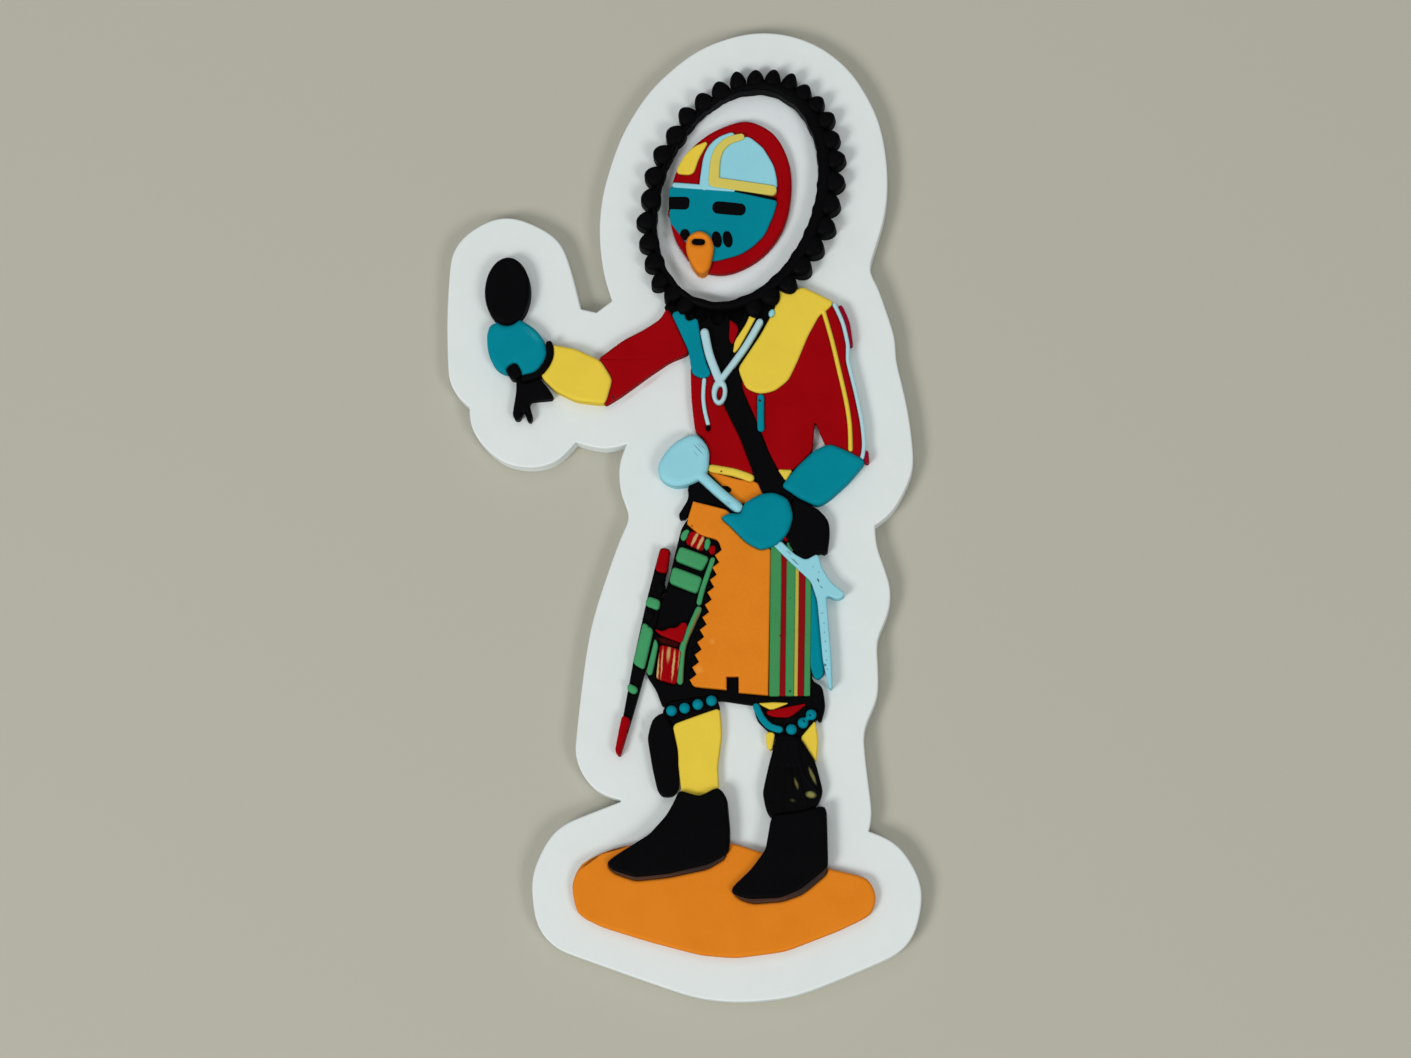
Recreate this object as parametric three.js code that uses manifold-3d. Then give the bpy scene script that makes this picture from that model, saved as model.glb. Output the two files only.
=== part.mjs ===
// A flat souvenir of moulded soft PVC: a kachina doll in low relief on a white backing.
// Millimetres, +Z up. It lies on its flat back, with X across the figure and Y from the base to the feathers.
// The colours are poured into one mould and baked together, so the whole souvenir is one closed solid.
import * as THREE from "three";
import { mergeVertices } from "three/addons/utils/BufferGeometryUtils.js";
import Module from "manifold-3d";

const wasm = await Module();
wasm.setup();

// The backing
const BACKING = 2.0; // thickness
const BORDER = 4.35; // white margin kept around the figure
const BORDER_SHIFT = new THREE.Vector2(0.2, 0.2); // the margin is a touch wider above and on the right
const ROOT = 1.0; // level inside the backing at which every coloured field starts
const OVERCUT = 0.6; // how far a cut runs past the surface it goes through

// How far each field stands above the backing. Fields that touch differ, so each keeps its own edge.
const RISE = {
  ruff: 2.0,
  disc: 1.0, face: 1.2, crest: 1.2, arch: 1.3, brow: 1.4, browLine: 1.25, beak: 1.8,
  core: 0.6, neck: 0.8, scarf: 1.3, collar: 1.2, lining: 1.0, necklace: 1.5, stud: 1.3,
  vest: 1.0, yoke: 1.2, piping: 1.25, trim: 1.1, tab: 1.3, cord: 1.2, cordEnd: 1.25, strap: 1.1,
  sleeve: 1.1, cuff: 1.3, hand: 1.4, wristband: 1.5, wristTassel: 1.1, rattle: 1.6,
  waist: 0.9, belt: 1.15, eyelet: 1.0, underGourd: 0.8, gourd: 1.6, bag: 1.2, frontCuff: 1.4, frontHand: 1.8,
  kilt: 0.7, apron: 1.2, oddStripe: 1.1, evenStripe: 1.0, underStripe: 0.9, feather: 1.4,
  staff: 0.8, staffBlock: 1.2, knot: 1.1, knotEdge: 1.0, sashBar: 1.3, sashEdge: 1.15, sashBlock: 1.2,
  knee: 0.8, bead: 1.3, shin: 1.0, backShin: 0.9, kneeFan: 1.0, kneeBand: 1.1, garter: 1.2,
  tuft: 1.25, lock: 1.4, sole: 1.3, boot: 1.7, base: 1.0,
};
const FLOOR = { eye: 0.95, mark: 1.05, mouth: 1.6 }; // the same for the floors of the sunk shapes

// Feather ruff around the head: two leaning ovals with a ring of feathers between them
const RUFF_TIPS = { x: 5.8, y: 33.43, long: 13.9, short: 10.02, lean: 71.5 };
const RUFF_INSIDE = { x: 5.39, y: 33.45, long: 11.6, short: 7.86, lean: 72.4 };
const RUFF_BORDER = { x: 5.74, y: 32.78, long: 14.64, short: 10.13, lean: 75.7 };
const FEATHERS = 33;
const FEATHER_LENGTH = 3.0;
const FEATHER_WIDTH = 1.75;
const FEATHER_FREE = 1.15; // how far the feathers stand clear of the band that joins them

// Kilt: teeth down the left edge of the apron, stripes down its right
const HEM = -18.2;
const TEETH = 11;
const TOOTH_DEPTH = 0.55;
const APRON_EDGE = { top: [3.8, -3.2], foot: [1.05, -17.0] };
const STRIPE_START = 8.7;
const STRIPE_HEAD = -3.1;
const STRIPE_FALL = 0.97; // how fast the tops of the stripes step down to the right
const STRIPE_SLANT = -0.22; // how far a stripe runs sideways from its top to the hem
const GROOVE = 0.14; // gap between neighbouring stripes
const STRIPES = [
  { hue: "green", pitch: 1.0 },
  { hue: "red", pitch: 0.6 },
  { hue: "green", pitch: 0.8 },
  { hue: "yellow", pitch: 0.4 },
  { hue: "red", pitch: 0.58 },
  { hue: "green", pitch: 0.6 },
];

const BEAD = 0.6; // radius of a knee bead
const LOCK = 0.55; // width of a lock of hair on the leg
const CORNER = { crisp: 0.22, small: 0.3, soft: 0.5, round: 0.9 };
const ROUND_FROM = 0.45; // corners of at least this radius get a point on their arc as well
const CORNER_SHARE = 0.42; // most of a side that one corner may take up
const FINE = 0.03; // a point is dropped where it lies this close to the line between its neighbours
const CAP = Math.SQRT1_2; // place of the points halfway round the end of a strip

const PVC = {
  white: "#dfe4e2",
  black: "#0b0b0d",
  red: "#a3060f",
  crimson: "#8c0f28",
  yellow: "#e6cb45",
  teal: "#048a9a",
  sky: "#98d2de",
  orange: "#e88a2b",
  green: "#459c64",
  brown: "#49362c",
};
const HUES = Object.keys(PVC);
const materials = HUES.map(
  (hue) => new THREE.MeshStandardMaterial({ name: hue, color: PVC[hue], roughness: 0.55, metalness: 0 }),
);

// Outlines: closed lists of plane points, anticlockwise

const radians = THREE.MathUtils.degToRad;
const points = (pairs) => pairs.map(([x, y]) => new THREE.Vector2(x, y));

function anticlockwise(outline) {
  return THREE.ShapeUtils.isClockWise(outline) ? outline.reverse() : outline;
}

// Leaves out points that add nothing to a smooth line, never two in a row.
function thin(outline) {
  const kept = [...outline];
  for (let i = 0; i < kept.length; i += 1) {
    const before = kept.at(i - 1);
    const along = kept[(i + 1) % kept.length].clone().sub(before);
    const offset = Math.abs(along.cross(kept[i].clone().sub(before))) / along.length();
    if (offset < FINE) kept.splice(i, 1);
  }
  return kept;
}

// A smooth closed line through a few points.
function blob(pairs, stepsEach = 3) {
  const places = pairs.map(([x, y]) => new THREE.Vector3(x, y, 0));
  const line = new THREE.CatmullRomCurve3(places, true, "centripetal");
  const smooth = line.getPoints(pairs.length * stepsEach).slice(0, -1);
  return anticlockwise(thin(smooth.map(({ x, y }) => new THREE.Vector2(x, y))));
}

// A straight-sided field with its corners rounded off.
function panel(pairs, radius) {
  const corners = points(pairs);
  const steps = radius > ROUND_FROM ? 2 : 1;
  const outline = corners.flatMap((corner, i) => {
    const towards = (other) => {
      const side = other.clone().sub(corner);
      return side.setLength(Math.min(radius, side.length() * CORNER_SHARE)).add(corner);
    };
    const from = towards(corners.at(i - 1));
    const to = towards(corners[(i + 1) % corners.length]);
    return new THREE.QuadraticBezierCurve(from, corner, to).getPoints(steps);
  });
  return anticlockwise(outline);
}

function oval({ x, y, long, short, lean = 0 }, steps = 16) {
  const ring = new THREE.EllipseCurve(x, y, long, short, 0, 2 * Math.PI, false, radians(lean));
  return ring.getPoints(steps).slice(0, -1);
}

// A band with round ends along a smooth centre line, from one width to another.
function strip(pairs, width, endWidth = width, stepsEach = 2) {
  const line = new THREE.SplineCurve(points(pairs));
  const steps = pairs.length > 2 ? (pairs.length - 1) * stepsEach : 1;
  const left = [];
  const right = [];
  const station = (share, reach, spread) => {
    const half = THREE.MathUtils.lerp(width, endWidth, share) / 2;
    const along = line.getTangent(share).multiplyScalar(half);
    const across = new THREE.Vector2(-along.y, along.x);
    const at = line.getPoint(share).addScaledVector(along, reach);
    left.push(at.clone().addScaledVector(across, spread));
    if (spread > 0) right.push(at.clone().addScaledVector(across, -spread));
  };
  station(0, -1, 0);
  station(0, -CAP, CAP);
  for (let i = 0; i <= steps; i += 1) station(i / steps, 0, 1);
  station(1, CAP, CAP);
  station(1, 1, 0);
  return anticlockwise([...left, ...right.reverse()]);
}

// The line that keeps the white border clear around a group of points.
function hug(group, steps = 32) {
  const rim = Array.from({ length: steps }, (_, i) => {
    const turn = (2 * Math.PI * i) / steps;
    const out = new THREE.Vector2(Math.cos(turn), Math.sin(turn));
    const furthest = group.reduce((best, p) => (p.dot(out) > best.dot(out) ? p : best));
    return furthest.clone().addScaledVector(out, BORDER).add(BORDER_SHIFT);
  });
  return anticlockwise(rim);
}

// Solids

function prism(outline, bottom, top) {
  const depth = top - bottom;
  const geometry = new THREE.ExtrudeGeometry(new THREE.Shape(outline), { depth, bevelEnabled: false });
  geometry.translate(0, 0, bottom);
  geometry.deleteAttribute("normal");
  geometry.deleteAttribute("uv");
  const { attributes, index } = mergeVertices(geometry, 1e-5);
  const vertProperties = attributes.position.array;
  const triVerts = new Uint32Array(index.array);
  return new wasm.Manifold(new wasm.Mesh({ numProp: 3, vertProperties, triVerts }));
}

// The outer edge of several overlapping outlines, drawn afresh as one clean line.
function joined(outlines) {
  const whole = outlines.map((outline) => prism(outline, 0, 1)).reduce((sum, solid) => sum.add(solid));
  const { vertProperties: place, triVerts } = whole.getMesh();
  const edges = new Set();
  for (let i = 0; i < triVerts.length; i += 3) {
    const corners = [...triVerts.slice(i, i + 3)];
    if (corners.some((v) => place[v * 3 + 2] > 0)) continue;
    corners.forEach((from, k) => {
      const to = corners[(k + 1) % 3];
      if (!edges.delete(`${to} ${from}`)) edges.add(`${from} ${to}`);
    });
  }
  const next = new Map([...edges].map((edge) => edge.split(" ").map(Number)));
  let longest = [];
  while (next.size) {
    const loop = [];
    for (let [at] = next.keys(); next.has(at); ) {
      loop.push(new THREE.Vector2(place[at * 3], place[at * 3 + 1]));
      const to = next.get(at);
      next.delete(at);
      at = to;
    }
    if (loop.length > longest.length) longest = loop;
  }
  return anticlockwise(thin(thin(longest)));
}

const field = (outline, rise) => prism(outline, ROOT, BACKING + rise);
const through = (outline, rise) => prism(outline, 0, BACKING + rise + OVERCUT);

const raised = [];
const sunk = [];
const hueOf = new Map(); // the colour of each solid that goes into the moulding

function coloured(hue, solid) {
  const poured = solid.asOriginal();
  hueOf.set(poured.originalID(), HUES.indexOf(hue));
  return poured;
}

// A field of one colour that stands up from the backing.
function pour(hue, rise, outline) {
  raised.push(coloured(hue, field(outline, rise)));
}

// A shape sunk into a field, with a floor of another colour.
function sink(hue, floor, rise, outline) {
  sunk.push(coloured(hue, prism(outline, BACKING + floor, BACKING + rise + OVERCUT)));
}

// The place on a leaning oval at a turn from its long axis, moved in or out.
function pointOn({ x, y, long, short, lean }, turn, out = 0) {
  const place = new THREE.Vector2(Math.cos(turn) * (long + out), Math.sin(turn) * (short + out));
  return place.rotateAround(new THREE.Vector2(), radians(lean)).add(new THREE.Vector2(x, y));
}

function ruff() {
  const { long, short } = RUFF_TIPS;
  const bandEdge = { ...RUFF_TIPS, long: long - FEATHER_FREE, short: short - FEATHER_FREE };
  const feathers = Array.from({ length: FEATHERS }, (_, i) => {
    const turn = (2 * Math.PI * (i + 0.5)) / FEATHERS;
    const tip = pointOn(RUFF_TIPS, turn);
    const out = tip.clone().sub(pointOn(RUFF_TIPS, turn, -1)).normalize();
    const { x, y } = tip.addScaledVector(out, -FEATHER_LENGTH / 2);
    const lean = THREE.MathUtils.radToDeg(out.angle());
    return oval({ x, y, long: FEATHER_LENGTH / 2, short: FEATHER_WIDTH / 2, lean }, 12);
  });
  const edge = joined([oval(bandEdge, FEATHERS * 2), ...feathers]);
  const opening = oval(RUFF_INSIDE, 44);
  raised.push(coloured("black", field(edge, RISE.ruff).subtract(through(opening, RISE.ruff))));
}

function mask() {
  pour("red", RISE.disc, blob([
    [6.5, 41.6], [9.1, 40.2], [10.6, 37.3], [10.9, 34.3], [10.1, 30.2], [8.0, 27.2], [5.1, 25.55],
    [3.1, 25.35], [1.3, 26.0], [-0.3, 27.9], [-1.3, 30.1], [-1.5, 32.7], [-1.2, 35.4], [-0.1, 37.9],
    [1.6, 39.7], [3.8, 41.0],
  ]));
  pour("teal", RISE.face, panel([
    [-1.5, 34.7], [5.2, 34.0], [9.4, 33.0], [9.1, 31.6], [8.1, 29.3], [6.9, 28.1], [5.6, 27.3],
    [3.3, 26.7], [1.6, 26.5], [-0.1, 29.1], [-1.45, 30.9],
  ], CORNER.small));
  pour("yellow", RISE.crest, panel([
    [2.4, 39.5], [0.8, 38.8], [-0.1, 37.8], [-0.9, 36.15], [0.8, 36.0], [1.4, 37.7],
  ], CORNER.small));
  pour("sky", RISE.crest, panel([
    [6.5, 39.9], [4.4, 39.3], [3.2, 37.6], [3.2, 35.2], [9.4, 34.1], [9.4, 35.1], [9.1, 36.6], [8.0, 38.6],
  ], CORNER.soft));
  const outerArch = [[2.05, 34.7], [2.4, 37.5], [3.0, 38.85], [3.85, 39.6], [4.8, 40.0]];
  pour("sky", RISE.arch, strip(outerArch, 1.0, 0.6));
  pour("sky", RISE.arch, strip([[-1.0, 34.8], [5.0, 34.2]], 0.45));
  const innerArch = [[3.0, 35.1], [3.2, 37.5], [3.8, 38.8], [4.7, 39.5], [5.8, 39.8]];
  pour("yellow", RISE.brow, strip(innerArch, 1.0, 0.6));
  pour("yellow", RISE.brow, strip([[3.0, 35.0], [8.9, 33.95]], 0.95));
  pour("black", RISE.browLine, strip([[5.1, 34.1], [9.2, 33.05]], 0.3));

  sink("black", FLOOR.eye, RISE.face, panel([
    [-2.0, 33.5], [0.45, 33.4], [0.35, 32.2], [-2.0, 32.3],
  ], CORNER.crisp));
  sink("black", FLOOR.eye, RISE.face, panel([
    [3.0, 32.9], [6.2, 32.5], [6.1, 31.4], [2.9, 31.75],
  ], CORNER.small));
  const cheek = { y: 28.85, long: 0.8, short: 0.4, lean: 100 };
  sink("black", FLOOR.mark, RISE.face, oval({ ...cheek, x: 0.05, y: 29.45, long: 0.5 }, 12));
  sink("black", FLOOR.mark, RISE.face, oval({ ...cheek, x: 3.3 }, 12));
  sink("black", FLOOR.mark, RISE.face, oval({ ...cheek, x: 4.4 }, 12));

  pour("orange", RISE.beak, blob([
    [1.5, 29.7], [0.4, 29.1], [0.15, 28.1], [0.4, 26.9], [1.3, 25.35], [1.85, 25.15], [2.45, 25.6],
    [2.95, 27.4], [2.95, 28.3], [2.45, 29.25],
  ]));
  sink("black", FLOOR.mouth, RISE.beak, strip([[1.1, 28.55], [1.8, 28.5]], 0.62));
}

// The black ground that shows as thin lines between the fields of the chest and the waist.
function core() {
  pour("black", RISE.core, panel([
    [2.0, 18.0], [1.2, 14.0], [1.5, 9.0], [2.4, 7.0], [2.6, 4.0], [1.6, 1.0], [2.0, -1.0], [6.0, -2.5],
    [11.4, -4.2], [12.5, -2.0], [12.8, 1.3], [11.6, 3.6], [12.4, 6.4], [12.7, 9.0], [9.0, 16.0], [6.0, 18.0],
  ], CORNER.small));
}

function neck() {
  pour("black", RISE.neck, panel([
    [-2.2, 22.2], [-1.7, 21.0], [0.5, 19.8], [1.2, 18.6], [1.7, 15.5], [3.5, 13.7], [5.8, 14.6], [8.4, 19.0],
    [10.2, 22.4], [6.5, 21.7], [3.0, 21.5], [0.6, 21.9],
  ], CORNER.small));
  pour("teal", RISE.scarf, panel([
    [-1.3, 21.1], [-0.2, 21.5], [0.3, 20.2], [1.3, 20.6], [1.75, 17.7], [2.25, 15.7], [2.7, 14.6],
    [1.9, 14.2], [0.8, 14.7], [0.4, 17.2], [-0.7, 19.7],
  ], CORNER.crisp));
  pour("red", RISE.lining, panel([[4.6, 20.5], [5.5, 19.5], [4.9, 17.7], [4.5, 18.2]], CORNER.crisp));
  pour("yellow", RISE.collar, panel([
    [6.8, 21.2], [7.3, 20.6], [5.4, 17.1], [4.9, 16.8], [5.1, 18.1], [6.2, 19.8],
  ], CORNER.crisp));
  pour("sky", RISE.stud, oval({ x: 8.85, y: 20.95, long: 0.42, short: 0.3, lean: 70 }, 10));

  const necklace = joined([
    strip([[2.05, 19.0], [2.5, 16.8], [3.5, 14.0]], 0.85),
    strip([[7.65, 20.0], [6.15, 17.4], [3.8, 14.1]], 0.66),
    oval({ x: 3.55, y: 12.75, long: 1.35, short: 0.78, lean: 87 }),
  ]);
  const loop = oval({ x: 3.58, y: 12.6, long: 0.75, short: 0.3, lean: 83 }, 12);
  raised.push(coloured("sky", field(necklace, RISE.necklace).subtract(through(loop, RISE.necklace))));
}

function vest() {
  pour("red", RISE.vest, panel([
    [0.6, 15.6], [0.7, 12.0], [1.1, 8.7], [2.0, 8.0], [2.5, 5.3], [6.6, 4.3], [9.7, 4.3], [10.8, 4.5],
    [12.8, 6.5], [13.1, 9.7], [14.2, 7.0], [16.4, 6.0], [17.6, 5.3], [18.0, 7.0], [17.8, 9.6],
    [17.2, 12.9], [16.5, 15.9], [16.5, 17.4], [16.0, 19.9], [15.0, 21.8], [13.9, 21.2], [9.7, 17.6],
    [6.1, 13.8], [4.2, 13.4], [2.8, 14.7],
  ], CORNER.small));
  pour("yellow", RISE.yoke, panel([
    [9.4, 23.4], [11.4, 23.4], [12.0, 23.7], [15.2, 22.0], [14.5, 21.2], [13.7, 20.7], [12.5, 18.5],
    [11.4, 15.8], [10.5, 13.9], [9.1, 12.8], [7.6, 12.5], [6.2, 13.1], [5.4, 15.2], [7.7, 18.7],
    [9.2, 21.5],
  ], CORNER.soft));
  pour("yellow", RISE.yoke, strip([
    [14.1, 21.0], [14.9, 18.0], [15.6, 14.8], [16.25, 11.7], [16.6, 9.1], [16.65, 6.6],
  ], 0.45));
  pour("crimson", RISE.trim, strip([[15.8, 21.4], [16.45, 19.8], [16.75, 17.6]], 0.5));
  pour("crimson", RISE.trim, strip([[18.2, 6.2], [18.25, 5.4]], 0.5));
  pour("sky", RISE.piping, strip([
    [15.2, 21.7], [16.0, 19.8], [16.5, 17.4], [16.5, 15.8], [17.15, 12.9], [17.8, 9.5], [18.0, 7.0],
    [17.8, 5.7],
  ], 0.4));
  pour("teal", RISE.tab, strip([[7.7, 12.1], [7.68, 10.2], [7.7, 8.9]], 0.68));
  pour("sky", RISE.cord, strip([[2.0, 14.1], [1.9, 12.4], [2.05, 10.9], [2.38, 9.5]], 0.4));
  pour("black", RISE.cordEnd, oval({ x: 2.4, y: 9.05, long: 0.3, short: 0.2, lean: 90 }, 8));
  pour("black", RISE.strap, panel([
    [4.3, 14.6], [3.9, 11.6], [5.6, 8.0], [6.9, 4.4], [7.9, 2.1], [11.6, 0.9], [10.1, 3.2], [8.5, 6.4],
    [7.4, 9.3], [5.9, 12.9], [5.4, 15.4],
  ], CORNER.small));
}

function raisedArm() {
  pour("red", RISE.sleeve, panel([
    [-8.8, 16.5], [-6.3, 18.4], [-4.0, 19.6], [-2.5, 20.6], [-1.8, 21.8], [-0.9, 20.4], [-0.1, 18.5],
    [0.5, 17.0], [-1.5, 16.15], [-3.5, 14.8], [-6.5, 12.6], [-8.2, 11.6],
  ], CORNER.small));
  pour("yellow", RISE.cuff, panel([
    [-14.0, 18.2], [-11.1, 17.6], [-8.5, 16.3], [-7.3, 14.3], [-8.0, 11.75], [-11.0, 12.15], [-13.1, 13.2],
    [-14.6, 14.75], [-13.8, 16.7],
  ], CORNER.soft));
  pour("teal", RISE.hand, blob([
    [-19.9, 20.1], [-18.8, 20.6], [-17.3, 20.9], [-15.2, 19.7], [-14.1, 18.0], [-14.0, 16.9], [-14.8, 15.2],
    [-17.0, 15.0], [-18.9, 15.5], [-19.95, 17.3],
  ]));
  pour("black", RISE.rattle, oval({ x: -18.1, y: 23.8, long: 3.6, short: 2.32, lean: 90 }, 24));
  pour("black", RISE.wristband, strip([
    [-13.75, 18.1], [-13.65, 17.0], [-14.1, 15.85], [-15.0, 14.9], [-16.2, 14.55],
  ], 0.7));
  pour("black", RISE.wristband, panel([
    [-18.2, 15.5], [-17.2, 16.3], [-16.4, 14.9], [-17.4, 14.3],
  ], CORNER.small));
  pour("black", RISE.wristTassel, panel([
    [-17.1, 15.0], [-17.1, 13.2], [-17.45, 10.6], [-16.8, 10.1], [-16.3, 11.4], [-15.8, 9.9], [-15.35, 10.3],
    [-15.8, 12.2], [-13.2, 12.45], [-13.7, 13.4], [-15.0, 15.0],
  ], CORNER.small));
}

function waist() {
  pour("orange", RISE.waist, panel([
    [2.2, 4.7], [5.6, 3.7], [7.2, 3.5], [8.2, 2.4], [5.7, 1.1], [3.8, 3.1],
  ], CORNER.small));
  pour("yellow", RISE.belt, strip([[2.7, 4.9], [5.0, 4.45], [6.6, 3.85]], 0.8));
  pour("yellow", RISE.belt, panel([[9.3, 4.7], [10.9, 4.6], [10.2, 3.4]], CORNER.crisp));
  pour("black", RISE.eyelet, oval({ x: 4.2, y: 2.75, long: 0.5, short: 0.3, lean: 160 }, 10));
  pour("black", RISE.underGourd, panel([
    [0.3, 3.2], [1.6, 3.9], [4.6, 0.8], [1.1, 1.3], [0.4, 0.1], [-0.2, -0.4], [-0.7, 0.0], [0.4, 1.9],
  ], CORNER.small));
  const gourd = blob([
    [1.1, 8.3], [2.3, 7.1], [2.5, 5.7], [2.1, 4.1], [0.8, 3.35], [-0.9, 3.05], [-2.3, 3.8], [-2.6, 5.0],
    [-1.7, 6.8], [-0.2, 8.0],
  ]);
  pour("sky", RISE.gourd, joined([gourd, strip([[1.3, 4.5], [3.6, 2.3], [5.4, 0.75]], 1.05)]));
  pour("black", RISE.bag, panel([
    [10.9, 1.8], [13.4, 0.5], [14.4, -0.7], [14.5, -2.0], [14.2, -4.15], [13.3, -3.85], [12.6, -4.45],
    [11.4, -4.55], [10.4, -2.9], [10.0, -1.9],
  ], CORNER.small));
  pour("teal", RISE.frontCuff, panel([
    [9.7, 2.9], [11.3, 4.9], [13.1, 6.6], [14.6, 7.2], [16.4, 6.4], [18.2, 5.35], [16.4, 3.2], [14.4, 1.4],
    [13.3, 0.8], [11.6, 1.6],
  ], CORNER.soft));
  pour("teal", RISE.frontHand, panel([
    [6.0, 1.2], [7.8, 2.1], [9.0, 2.2], [10.4, 1.5], [10.9, -0.2], [10.4, -1.9], [9.2, -3.2], [7.6, -3.65],
    [6.2, -2.85], [4.4, -0.95], [3.6, -0.3], [4.6, 0.2], [5.7, 0.0],
  ], CORNER.soft));
  pour("red", RISE.knot, panel([[9.95, -2.1], [10.5, -2.2], [10.4, -2.75], [9.9, -2.7]], CORNER.crisp));
  pour("green", RISE.knotEdge, panel([
    [10.2, -2.7], [11.0, -2.7], [10.8, -3.9], [10.3, -3.75],
  ], CORNER.crisp));
}

function apron() {
  const top = new THREE.Vector2(...APRON_EDGE.top);
  const foot = new THREE.Vector2(...APRON_EDGE.foot);
  const down = foot.clone().sub(top);
  const outwards = new THREE.Vector2(down.y, -down.x).setLength(TOOTH_DEPTH);
  const halfTeeth = TEETH * 2;
  const teeth = Array.from({ length: halfTeeth }, (_, i) => {
    const root = top.clone().lerp(foot, (i + 0.5) / halfTeeth);
    return i % 2 ? root.addScaledVector(outwards, 1) : root;
  });
  const rest = points([
    [1.0, -17.2], [4.2, -17.6], [4.2, -16.3], [5.4, -16.3], [5.4, -17.9], [8.3, HEM], [8.6, -3.6],
    [6.1, -1.0], [4.1, 0.6], [0.9, 1.5], [0.4, -0.2], [0.3, -0.8], [1.6, -1.9], [3.3, -2.5],
  ]);
  pour("orange", RISE.apron, anticlockwise([...teeth, ...rest]));
}

function stripes() {
  const head = (x) => STRIPE_HEAD - (x - STRIPE_START) * STRIPE_FALL;
  let left = STRIPE_START;
  STRIPES.forEach(({ hue, pitch }, i) => {
    const right = left + pitch - GROOVE;
    const rise = i % 2 ? RISE.evenStripe : RISE.oddStripe;
    pour(hue, rise, points([
      [left + STRIPE_SLANT, HEM], [right + STRIPE_SLANT, HEM], [right, head(right)], [left, head(left)],
    ]));
    left += pitch;
  });
}

function kilt() {
  pour("black", RISE.kilt, panel([
    [-0.3, -1.1], [-1.1, -4.4], [-1.7, -6.9], [-2.6, -9.4], [-3.2, -11.7], [-3.8, -15.9], [-2.8, -17.5],
    [-2.1, -19.3], [3.5, -18.6], [6.7, -19.1], [12.6, -19.1], [12.9, -20.2], [13.4, -21.1], [13.9, -19.3],
    [13.6, -17.3], [12.6, -16.7], [12.6, -6.8], [9.0, -3.1], [5.1, -0.4], [0.6, 0.2],
  ], CORNER.small));
  apron();
  stripes();
  pour("teal", RISE.underStripe, panel([
    [12.4, -6.8], [13.5, -8.7], [13.9, -13.7], [13.7, -16.4], [12.9, -16.7], [12.3, -14.7],
  ], CORNER.small));
  pour("sky", RISE.feather, panel([
    [8.8, -3.1], [9.6, -2.7], [11.0, -4.1], [12.1, -4.7], [13.3, -4.1], [13.7, -5.5], [14.6, -7.0],
    [16.0, -8.2], [15.3, -8.75], [14.1, -8.3], [14.5, -13.8], [14.6, -17.7], [14.3, -17.7], [13.7, -14.8],
    [13.2, -8.8], [12.6, -6.9], [10.5, -4.85],
  ], CORNER.crisp));
}

function sash() {
  pour("black", RISE.staff, panel([
    [-2.4, -3.1], [-1.4, -3.3], [-2.3, -8.5], [-3.1, -12.5], [-4.4, -17.5], [-5.3, -20.7], [-6.4, -24.1],
    [-6.8, -23.6], [-6.0, -19.9], [-5.1, -14.8], [-3.7, -8.2],
  ], CORNER.crisp));
  const blocks = [
    ["red", RISE.staffBlock, [[-2.4, -3.2], [-1.45, -3.4], [-1.75, -5.8], [-2.9, -5.5]]],
    ["green", RISE.staffBlock, [[-3.6, -8.1], [-2.35, -8.55], [-2.55, -9.55], [-3.9, -9.0]]],
    ["green", RISE.staffBlock, [[-4.05, -10.7], [-3.05, -11.5], [-3.95, -15.5], [-5.05, -14.85]]],
    ["green", RISE.staffBlock, [[-5.5, -16.8], [-4.5, -17.35], [-4.8, -18.0], [-5.65, -17.55]]],
    ["red", RISE.staffBlock, [[-6.1, -20.0], [-5.25, -20.4], [-6.35, -24.2], [-6.8, -23.6]]],
    ["green", RISE.knotEdge, [[-0.1, -1.4], [0.6, -1.3], [0.1, -2.55], [-0.45, -2.3]]],
    ["red", RISE.knot, [[0.7, -1.45], [2.05, -2.05], [1.85, -3.6], [0.1, -2.75]]],
    ["green", RISE.knotEdge, [[2.15, -2.2], [2.65, -2.35], [2.45, -3.5], [1.95, -3.4]]],
    ["red", RISE.knot, [[2.6, -3.0], [3.25, -3.1], [2.95, -4.0], [2.4, -3.8]]],
    ["green", RISE.sashBar, [[-0.4, -3.1], [2.5, -4.25], [1.8, -5.6], [-0.9, -4.5]]],
    ["green", RISE.sashBar, [[-1.1, -5.15], [1.8, -6.3], [1.3, -7.9], [-1.5, -6.75]]],
    ["red", RISE.sashBlock, [
      [-3.0, -11.4], [-2.0, -11.7], [-1.5, -11.3], [-0.8, -11.4], [-0.1, -10.7], [0.4, -11.0], [-0.2, -12.9],
      [-2.4, -12.0],
    ]],
    ["green", RISE.sashEdge, [[-2.9, -12.3], [-2.55, -13.0], [-3.2, -16.1], [-3.75, -15.9]]],
    ["red", RISE.sashBlock, [[-2.35, -13.0], [-0.3, -13.6], [-0.75, -17.0], [-2.75, -16.4]]],
  ];
  for (const [hue, rise, corners] of blocks) pour(hue, rise, panel(corners, CORNER.crisp));
  pour("green", RISE.sashEdge, strip([[2.85, -4.5], [2.3, -6.05], [1.8, -7.55], [1.5, -8.8]], 0.5));
  pour("green", RISE.sashEdge, strip([[1.45, -9.5], [0.6, -11.4], [-0.15, -13.4], [-0.4, -16.7]], 0.6));
}

function beads(places) {
  for (const [x, y] of places) pour("teal", RISE.bead, oval({ x, y, long: BEAD, short: BEAD }, 12));
}

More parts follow.
